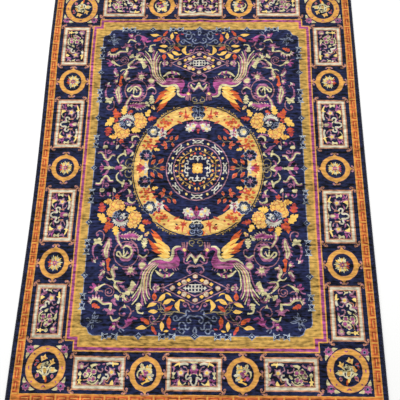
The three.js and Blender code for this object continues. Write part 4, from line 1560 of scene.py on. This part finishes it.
@dataclass
class KnottedLayer:
    """One charted face of the rug as a closed slab: the design on one side, plain cloth on the rest."""

    name: str
    shape: ClothShape
    chart: Chart
    low: float
    high: float
    design_up: bool
    rounding: float = 5.0
    round_share: float = 0.8
    swell_from_edge: float = 60.0
    merge: float = 1.0
    mirror_merge: float = 0.05
    weld: float = 0.01
    sliver: float = 0.001
    plain_step: float = 60.0
    ridge_step: int = 15
    ridge_reach: int = 120
    margin: float = 20.0
    wall_tilt: float = 0.3
    wall_span: float = 40.0

    def ring(self, inset: float, step: float) -> list[complex]:
        """Get the places of the quarter's outer edge lines, a little inside the edge."""
        far = complex(self.shape.half_width - inset, self.shape.half_length - inset)
        down = max(2, round(far.imag / step))
        over = max(2, round(far.real / step))
        side = [complex(far.real, far.imag * i / down) for i in range(down)]
        return side + [complex(far.real * (1 - i / over), far.imag) for i in range(over + 1)]

    def cut(self, spots: Sequence[complex], edges: Sequence[tuple[int, int]]
            ) -> tuple[np.ndarray, np.ndarray]:
        """Divide the quarter into triangles.

        Args:
            spots: The places that get a corner.
            edges: The numbers of the spots between which the triangles may not cross.

        Returns:
            The places of the corners, and the three corner numbers of each triangle.
        """
        flat_spots = [Vector((spot.real, spot.imag)) for spot in spots]
        points, _, faces, *_ = delaunay_2d_cdt(flat_spots, edges, [], 0, self.merge, False)
        flat = np.array([complex(*point) for point in points])
        for part, limit in ((flat.real, self.shape.half_width), (flat.imag, self.shape.half_length)):
            for line in (0.0, limit):
                part[abs(part - line) < self.merge] = line
        corners = np.array([face for face in faces if len(face) == 3])
        first, second, third = flat[corners].T
        corners = corners[abs(((second - first).conjugate() * (third - first)).imag) > self.sliver]
        middle = flat[corners].mean(axis=1)
        inside = ((middle.real > 0) & (middle.imag > 0) & (middle.real < self.shape.half_width)
                  & (middle.imag < self.shape.half_length))
        return flat, corners[inside]

    def seams(self) -> tuple[list[complex], list[tuple[int, int]]]:
        """Find the lines along which the yarn changes, from the outlines that lie over one another.

        Returns:
            The places on the lines, and the pairs of their numbers that are joined.
        """
        spots = []
        edges = []
        for _, outline in self.chart.patches:
            first = len(spots)
            spots.extend(outline)
            edges.extend((first + i, first + (i + 1) % len(outline)) for i in range(len(outline)))
        flat, corners = self.cut(spots, edges)
        kinds = list(Yarn)
        yarns = np.array([kinds.index(yarn) for yarn, _ in self.chart.patches])
        face_yarn = yarns[self.sort_yarns(self.chart.patches, flat[corners].mean(axis=1))]
        sides = np.sort(np.concatenate([corners[:, [0, 1]], corners[:, [1, 2]], corners[:, [2, 0]]]))
        order = np.lexsort((sides[:, 1], sides[:, 0]))
        sides = sides[order]
        beside = np.tile(face_yarn, 3)[order]
        changes = (sides[1:] == sides[:-1]).all(axis=1) & (beside[1:] != beside[:-1])
        used, joined = np.unique(sides[1:][changes], return_inverse=True)
        spots = list(flat[used])
        edges = []
        for start, end in joined.reshape(-1, 2).tolist():
            count = math.ceil(abs(spots[end] - spots[start]) / SEAM_STEP)
            between = [spots[start] + (spots[end] - spots[start]) * i / count for i in range(1, count)]
            stops = [start, *range(len(spots), len(spots) + len(between)), end]
            spots.extend(between)
            edges.extend(zip(stops, stops[1:]))
        return spots, edges

    def quarter(self, design: bool, step: float) -> bmesh.types.BMesh:
        """Cut one quarter of the cloth, with or without the chart's design.

        Args:
            design: Whether it is cut along the lines between the yarns.
            step: The spacing of the plain points between them.

        Returns:
            The flat quarter in chart millimetres, with its yarn colour on each face's corners.
        """
        patches = self.chart.patches if design else self.chart.patches[:1]
        rings = [[0j, *self.ring(0, LONG_STEP), 0j]]
        if design:
            rings += [self.ring(inset, LONG_STEP) for inset in (1.0, self.rounding * 0.5, self.rounding)]
        spots = []
        edges = []
        for line in rings:
            edges.extend((len(spots) + i, len(spots) + i + 1) for i in range(len(line) - 1))
            spots.extend(line)
        if design:
            places, joined = self.seams()
            edges.extend((len(spots) + start, len(spots) + end) for start, end in joined)
            spots.extend(places)
        limit = complex(self.shape.half_width, self.shape.half_length)
        plain_columns = np.arange(self.ridge_reach, limit.real - self.margin, step)
        plain_rows = np.arange(step / 2, limit.imag - self.margin, step)
        for across in [*range(0, self.ridge_reach, self.ridge_step), *plain_columns]:
            spots.extend(complex(across, along) for along in plain_rows)
        flat, corners = self.cut(spots, edges)
        return self.to_bmesh(flat, corners, self.sort_yarns(patches, flat[corners].mean(axis=1)))

    def sort_yarns(self, patches: Sequence[tuple[Yarn, list[complex]]], middle: np.ndarray) -> np.ndarray:
        """Find the yarn of each small face, from the last patch that covers its middle.

        Args:
            patches: The outlines and their yarns.
            middle: The middle of each face.

        Returns:
            The number of each face's patch.
        """
        owner = np.zeros(len(middle), dtype=int)
        for number, (_, outline) in enumerate(patches):
            corners = np.array(outline)
            across, along = corners.real, corners.imag
            near = np.flatnonzero((middle.real >= across.min()) & (middle.real <= across.max())
                                  & (middle.imag >= along.min()) & (middle.imag <= along.max()))
            if len(near):
                owner[near[winding(middle[near], corners)]] = number
        return owner

    def to_bmesh(self, flat: np.ndarray, corners: np.ndarray, owner: np.ndarray) -> bmesh.types.BMesh:
        """Make the cut quarter a mesh with its dye colours and the painted edge shade.

        Args:
            flat: The places of all points.
            corners: The three point numbers of each face.
            owner: The number of each face's patch.

        Returns:
            The quarter as a mesh.
        """
        colours = [linear(yarn.value) for yarn, _ in self.chart.patches]
        bm = bmesh.new()
        dye = bm.loops.layers.float_color.new("dye")
        used = np.unique(corners)
        verts = {int(i): bm.verts.new((flat[i].real, flat[i].imag, 0)) for i in used}
        for three, number in zip(corners.tolist(), owner.tolist()):
            face = bm.faces.new([verts[i] for i in three])
            for loop in face.loops:
                loop[dye] = colours[number]
        return bm

    def whole(self, bm: bmesh.types.BMesh) -> None:
        """Mirror a quarter to all four, as the weaver reads the chart back."""
        for axis in ("X", "Y"):
            everything = [*bm.verts, *bm.edges, *bm.faces]
            bmesh.ops.mirror(bm, geom=everything, matrix=Matrix.Identity(4),
                             merge_dist=self.mirror_merge, axis=axis)

    def bend(self, bm: bmesh.types.BMesh, height: float, face: bool) -> None:
        """Bend a flat sheet to the cloth's real shape.

        Args:
            bm: The sheet, in chart millimetres.
            height: Its height over the underside of the cloth.
            face: Whether it is the worn face, which swells and is rounded at its edge.
        """
        shape = self.shape
        for vert in bm.verts:
            across, along, _ = vert.co
            spot = shape.place(across, along)
            rise = height + shape.lift(spot.real, spot.imag)
            if face:
                edge = min(shape.half_width - abs(across), shape.half_length - abs(along))
                dip = max(0.0, 1 - edge / self.rounding)
                rise += shape.swell(spot.real, spot.imag) * min(1.0, edge / self.swell_from_edge)
                rise -= self.rounding * self.round_share * (1 - math.sqrt(max(0.0, 1 - dip * dip)))
            vert.co = (spot.real, spot.imag, rise)

    def build(self) -> bpy.types.Object:
        """Make the closed slab as a Blender object.

        Returns:
            The object, in metres, with its UV map and dye colours.
        """
        design = self.quarter(True, LONG_STEP)
        self.whole(design)
        self.bend(design, self.high if self.design_up else self.low, self.design_up)
        plain = self.quarter(False, self.plain_step)
        self.whole(plain)
        self.bend(plain, self.low if self.design_up else self.high, False)
        plain_mesh = bpy.data.meshes.new("plain_side")
        plain.to_mesh(plain_mesh)
        plain.free()
        rim = [edge for edge in design.edges if edge.is_boundary]
        walls = bmesh.ops.extrude_edge_only(design, edges=rim)["geom"]
        base = self.low if self.design_up else self.high
        for vert in walls:
            if isinstance(vert, bmesh.types.BMVert):
                vert.co.z = base + self.shape.lift(vert.co.x, vert.co.y)
        design.from_mesh(plain_mesh)
        bpy.data.meshes.remove(plain_mesh)
        bmesh.ops.remove_doubles(design, verts=design.verts, dist=self.weld)
        bmesh.ops.recalc_face_normals(design, faces=design.faces)
        dye = design.loops.layers.float_color["dye"]
        # The side walls get the darker navy of painted shade.
        rim_colour = linear(RIM.value)
        for face in design.faces:
            if abs(face.normal.z) < self.wall_tilt:
                for loop in face.loops:
                    loop[dye] = rim_colour
        self.unwrap(design)
        return to_object(design, self.name)

    def unwrap(self, bm: bmesh.types.BMesh) -> None:
        """Lay the design flat over most of the UV square, with the walls and plain side below it."""
        layer = bm.loops.layers.uv.new("OFBake")
        wide = 2 * self.shape.half_width + self.margin
        long = 2 * self.shape.half_length + self.margin
        up = 1 if self.design_up else -1
        for face in bm.faces:
            tilt = face.normal.z * up
            wall = abs(tilt) <= self.wall_tilt
            low, height = WALL_BAND if wall else DESIGN_BAND if tilt > 0 else PLAIN_BAND
            left, width = UV_WIDTH
            for loop in face.loops:
                across, along, rise = loop.vert.co
                level = across / wide + 0.5
                upright = along / long + 0.5
                if wall:
                    level = (across + along) / (wide + long) + 0.5
                    upright = min(1.0, abs(rise) / self.wall_span)
                loop[layer].uv = (left + width * level, low + height * upright)


def add_node(tree: bpy.types.NodeTree, kind: str,
             links: dict[str | int, bpy.types.NodeSocket] | None = None,
             **settings: object) -> bpy.types.Node:
    """Add a node with its settings and links.

    Args:
        tree: The node tree.
        kind: The node's type name, without its prefix.
        links: The output that feeds each named or numbered input.
        settings: Node properties, or input values by name with spaces as underscores.

    Returns:
        The node.
    """
    node = tree.nodes.new(f"ShaderNode{kind}")
    for name, value in settings.items():
        if hasattr(node, name):
            setattr(node, name, value)
        else:
            node.inputs[name.replace("_", " ")].default_value = value
    for name, output in (links or {}).items():
        tree.links.new(output, node.inputs[name])
    return node


def new_material(name: str) -> tuple[bpy.types.Material, bpy.types.NodeTree]:
    """Make an empty node material and get it with its tree."""
    material = bpy.data.materials.new(name)
    material.use_nodes = True
    material.node_tree.nodes.clear()
    return material, material.node_tree


def spread(tree: bpy.types.NodeTree, noise: bpy.types.Node, low: float,
           high: float) -> bpy.types.NodeSocket:
    """Stretch a noise's usual range to the values between low and high."""
    node = add_node(tree, "MapRange", {"Value": noise.outputs["Fac"]},
                    From_Min=0.3, From_Max=0.7, To_Min=low, To_Max=high)
    return node.outputs[0]


def calculate(tree: bpy.types.NodeTree, operation: str, first: bpy.types.NodeSocket,
              second: bpy.types.NodeSocket) -> bpy.types.NodeSocket:
    """Put two values together."""
    return add_node(tree, "Math", {0: first, 1: second}, operation=operation).outputs[0]


@dataclass(frozen=True)
class KnottedWool:
    """Hand-spun, vat-dyed wool knotted into a clipped pile: matt, streaked row by row.

    The dark vat dye takes unevenly, so its rows and patches differ more than the pale yarns do.
    Each kind of streak has a size across and along the rug, in metres, and a strength.
    """

    name: str = "knotted_wool_clipped_pile"
    row_pitch: float = 0.0042
    sheen: float = 0.15
    roughness: float = 0.92
    bump: float = 0.0012
    streaks: tuple[tuple[float, float, float], ...] = (
        (0.34, 0.009, 0.36), (1.2, 0.1, 0.34), (0.05, 0.018, 0.66),
    )
    dark_streaks: float = 1.7
    pale_streaks: float = 0.3
    fleck: float = 0.1

    def make(self) -> bpy.types.Material:
        """Make the material: dye colour, row streaks, yarn fleck and pile bump.

        Returns:
            The material.
        """
        material, tree = new_material(self.name)
        place = add_node(tree, "TexCoord").outputs["Object"]
        # The dye attribute also carries the darker navy painted as shade along the edge and sides.
        dye = add_node(tree, "Attribute", attribute_name="dye").outputs["Color"]
        streak = None
        for across, along, share in self.streaks:
            scale = (1 / across, 1 / along, 1.0)
            stretched = add_node(tree, "Mapping", {"Vector": place}, Scale=scale).outputs[0]
            noise = add_node(tree, "TexNoise", {"Vector": stretched}, Scale=1.0, Detail=2.5)
            value = spread(tree, noise, -share, share)
            streak = calculate(tree, "ADD", streak, value) if streak else value
        depth = add_node(tree, "SeparateColor", {"Color": dye}).outputs["Red"]
        strength = add_node(tree, "MapRange", {"Value": depth}, From_Min=0.01, From_Max=0.8,
                            To_Min=self.dark_streaks, To_Max=self.pale_streaks).outputs[0]
        streak = calculate(tree, "MULTIPLY", streak, strength)
        fleck = add_node(tree, "TexNoise", {"Vector": place},
                         Scale=1 / self.row_pitch, Detail=1.0)
        shade = calculate(tree, "ADD", streak, spread(tree, fleck, 1 - self.fleck, 1 + self.fleck))
        tone = add_node(tree, "HueSaturation", {"Color": dye, "Value": shade}).outputs["Color"]
        pitch = (1 / self.row_pitch,) * 3
        rows = add_node(tree, "Mapping", {"Vector": place}, Scale=pitch).outputs[0]
        knots = add_node(tree, "TexVoronoi", {"Vector": rows}, Scale=1.0, Randomness=0.55)
        bump = add_node(tree, "Bump", {"Height": knots.outputs["Distance"]}, Strength=0.6,
                        Distance=self.bump).outputs["Normal"]
        shader = add_node(tree, "BsdfPrincipled", {"Base Color": tone, "Normal": bump},
                          Roughness=self.roughness, Sheen_Weight=self.sheen, Sheen_Roughness=0.5,
                          Specular_IOR_Level=0.15)
        add_node(tree, "OutputMaterial", {"Surface": shader.outputs[0]})
        return material


@dataclass(frozen=True)
class OvercastWool:
    """Plied navy wool wound tightly round the side cord: ridged, slightly shiny on its crests."""

    name: str = "plied_wool_overcast"
    colour: int = 0x171A33
    fibre: float = 0.0011
    fleck: float = 0.3
    bump: float = 0.0006
    roughness: float = 0.85

    def make(self) -> bpy.types.Material:
        """Make the material: a dark dye with fine fibre streaks.

        Returns:
            The material.
        """
        material, tree = new_material(self.name)
        place = add_node(tree, "TexCoord").outputs["Object"]
        fibres = add_node(tree, "TexNoise", {"Vector": place}, Scale=1 / self.fibre, Detail=2.0)
        shade = spread(tree, fibres, 1 - self.fleck, 1 + self.fleck)
        tone = add_node(tree, "HueSaturation", {"Value": shade},
                        Color=linear(self.colour)).outputs["Color"]
        bump = add_node(tree, "Bump", {"Height": fibres.outputs["Fac"]}, Strength=0.4,
                        Distance=self.bump).outputs["Normal"]
        shader = add_node(tree, "BsdfPrincipled", {"Base Color": tone, "Normal": bump},
                          Roughness=self.roughness, Sheen_Weight=0.2)
        add_node(tree, "OutputMaterial", {"Surface": shader.outputs[0]})
        return material


@dataclass
class Selvedge:
    """An overcast side cord: a tube with a ridge for each turn of the wrapping yarn."""

    side: Side
    shape: ClothShape
    wrap_pitch: float = 4.4
    ridge: float = 0.09
    sole: float = 0.96
    rings_per_wrap: int = 3
    around: int = 10

    def build(self, material: bpy.types.Material) -> bpy.types.Object:
        """Make the cord.

        Args:
            material: Its finish.

        Returns:
            The cord as a Blender object, in metres.
        """
        length = 2 * self.shape.half_length
        rings = round(length / self.wrap_pitch) * self.rings_per_wrap
        bm = bmesh.new()
        bmesh.ops.create_grid(bm, x_segments=self.around, y_segments=rings, size=0.5)
        radius = self.shape.selvedge / 2
        for vert in bm.verts:
            turn = 2 * math.pi * (vert.co.x + 0.5)
            along = vert.co.y * length
            wrap = math.cos(2 * math.pi * along / self.wrap_pitch + turn)
            reach = radius * (1 - self.ridge + self.ridge * wrap)
            middle = self.side.value * (self.shape.side_edge(self.side, along) - radius)
            rise = max(-radius * self.sole, reach * math.sin(turn))
            vert.co = (middle + reach * math.cos(turn), along, radius + rise)
        bmesh.ops.remove_doubles(bm, verts=bm.verts, dist=0.001)
        bmesh.ops.holes_fill(bm, edges=[edge for edge in bm.edges if edge.is_boundary], sides=0)
        bmesh.ops.recalc_face_normals(bm, faces=bm.faces)
        piece = to_object(bm, f"overcast_{self.side.name.lower()}")
        piece.data.materials.append(material)
        return piece


@dataclass
class Studio:
    """The camera, the pale floor and the soft lights."""

    camera_place: tuple[float, float, float] = (0.1369, -1.8203, 4.2164)
    camera_turn: tuple[float, float, float] = (0.349062, 0.024442, 0.014627)
    lens: float = 50.1
    sensor: float = 36.0
    floor_size: float = 14.0
    floor_drop: float = 0.0005
    floor_colour: int = 0xFBFBFA
    surroundings: float = 0.45

    def camera(self) -> None:
        """Set the camera where the photograph was taken from."""
        data = bpy.data.cameras.new("camera")
        data.sensor_fit = "HORIZONTAL"
        data.sensor_width = self.sensor
        data.lens = self.lens
        data.clip_end = 100
        camera = bpy.data.objects.new("camera", data)
        tilt, roll, heading = self.camera_turn
        turn = (Matrix.Rotation(heading, 4, "Z") @ Matrix.Rotation(roll, 4, "Y")
                @ Matrix.Rotation(tilt, 4, "X"))
        camera.matrix_world = Matrix.Translation(self.camera_place) @ turn
        bpy.context.collection.objects.link(camera)
        bpy.context.scene.camera = camera

    def floor(self) -> None:
        """Lay the plain pale floor."""
        bm = bmesh.new()
        bmesh.ops.create_grid(bm, x_segments=1, y_segments=1, size=self.floor_size / 2)
        mesh = bpy.data.meshes.new("floor")
        bm.to_mesh(mesh)
        bm.free()
        material, tree = new_material("painted_floor_matt")
        shader = add_node(tree, "BsdfPrincipled", Roughness=0.9)
        shader.inputs["Base Color"].default_value = linear(self.floor_colour)
        add_node(tree, "OutputMaterial", {"Surface": shader.outputs[0]})
        mesh.materials.append(material)
        floor = bpy.data.objects.new("floor", mesh)
        floor.location.z = -self.floor_drop
        bpy.context.collection.objects.link(floor)

    def lights(self) -> None:
        """Hang the soft lights, and set the pale surroundings."""
        for name, place, size, power in (("overhead", (0.3, 0.6, 5.5), 6.0, 265.0),
                                         ("side_fill", (-4.5, 1.5, 3.2), 3.0, 56.0)):
            data = bpy.data.lights.new(name, "AREA")
            data.size = size
            data.energy = power
            light = bpy.data.objects.new(name, data)
            light.location = place
            light.rotation_euler = (Vector((0, 0, 0)) - Vector(place)).to_track_quat("-Z", "Y").to_euler()
            bpy.context.collection.objects.link(light)
        world = bpy.data.worlds.new("studio")
        world.use_nodes = True
        background = world.node_tree.nodes["Background"]
        background.inputs["Color"].default_value = (1, 1, 1, 1)
        background.inputs["Strength"].default_value = self.surroundings
        bpy.context.scene.world = world
        bpy.context.scene.view_settings.view_transform = "Standard"


def main() -> None:
    """Build the studio, the rug and its side cords; hang them on the root body and hide the parts they
    stand in for.
    """
    logging.basicConfig(level=logging.INFO, format="%(name)s: %(message)s")
    studio = Studio()
    studio.camera()
    studio.floor()
    studio.lights()
    chart = Chart()
    for part in (Border(), Field(), Medallion(), Garden(), Phoenix()):
        part.draw(chart)
    LOG.info("the chart has %d patches", len(chart.patches))
    shape = ClothShape()
    pile = KnottedLayer("knotted_pile", shape, chart, low=1.8, high=10.0, design_up=True).build()
    pile.data.materials.append(KnottedWool().make())
    back = KnottedLayer("rug_back", shape, chart, low=0.0, high=1.5, design_up=False).build()
    back.data.materials.append(KnottedWool("knotted_wool_back", sheen=0.0, bump=0.0006).make())
    for piece in (pile, back):
        LOG.info("%s: %d faces", piece.name, len(piece.data.polygons))
        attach(piece, "root")
    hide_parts("knotted_cloth")
    overcast = OvercastWool().make()
    for side in Side:
        cord = Selvedge(side, shape).build(overcast)
        LOG.info("%s: %d faces", cord.name, len(cord.data.polygons))
        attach(cord, "root")
        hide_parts(f"selvedge_{side.name.lower()}")


if __name__ == "__main__":
    main()
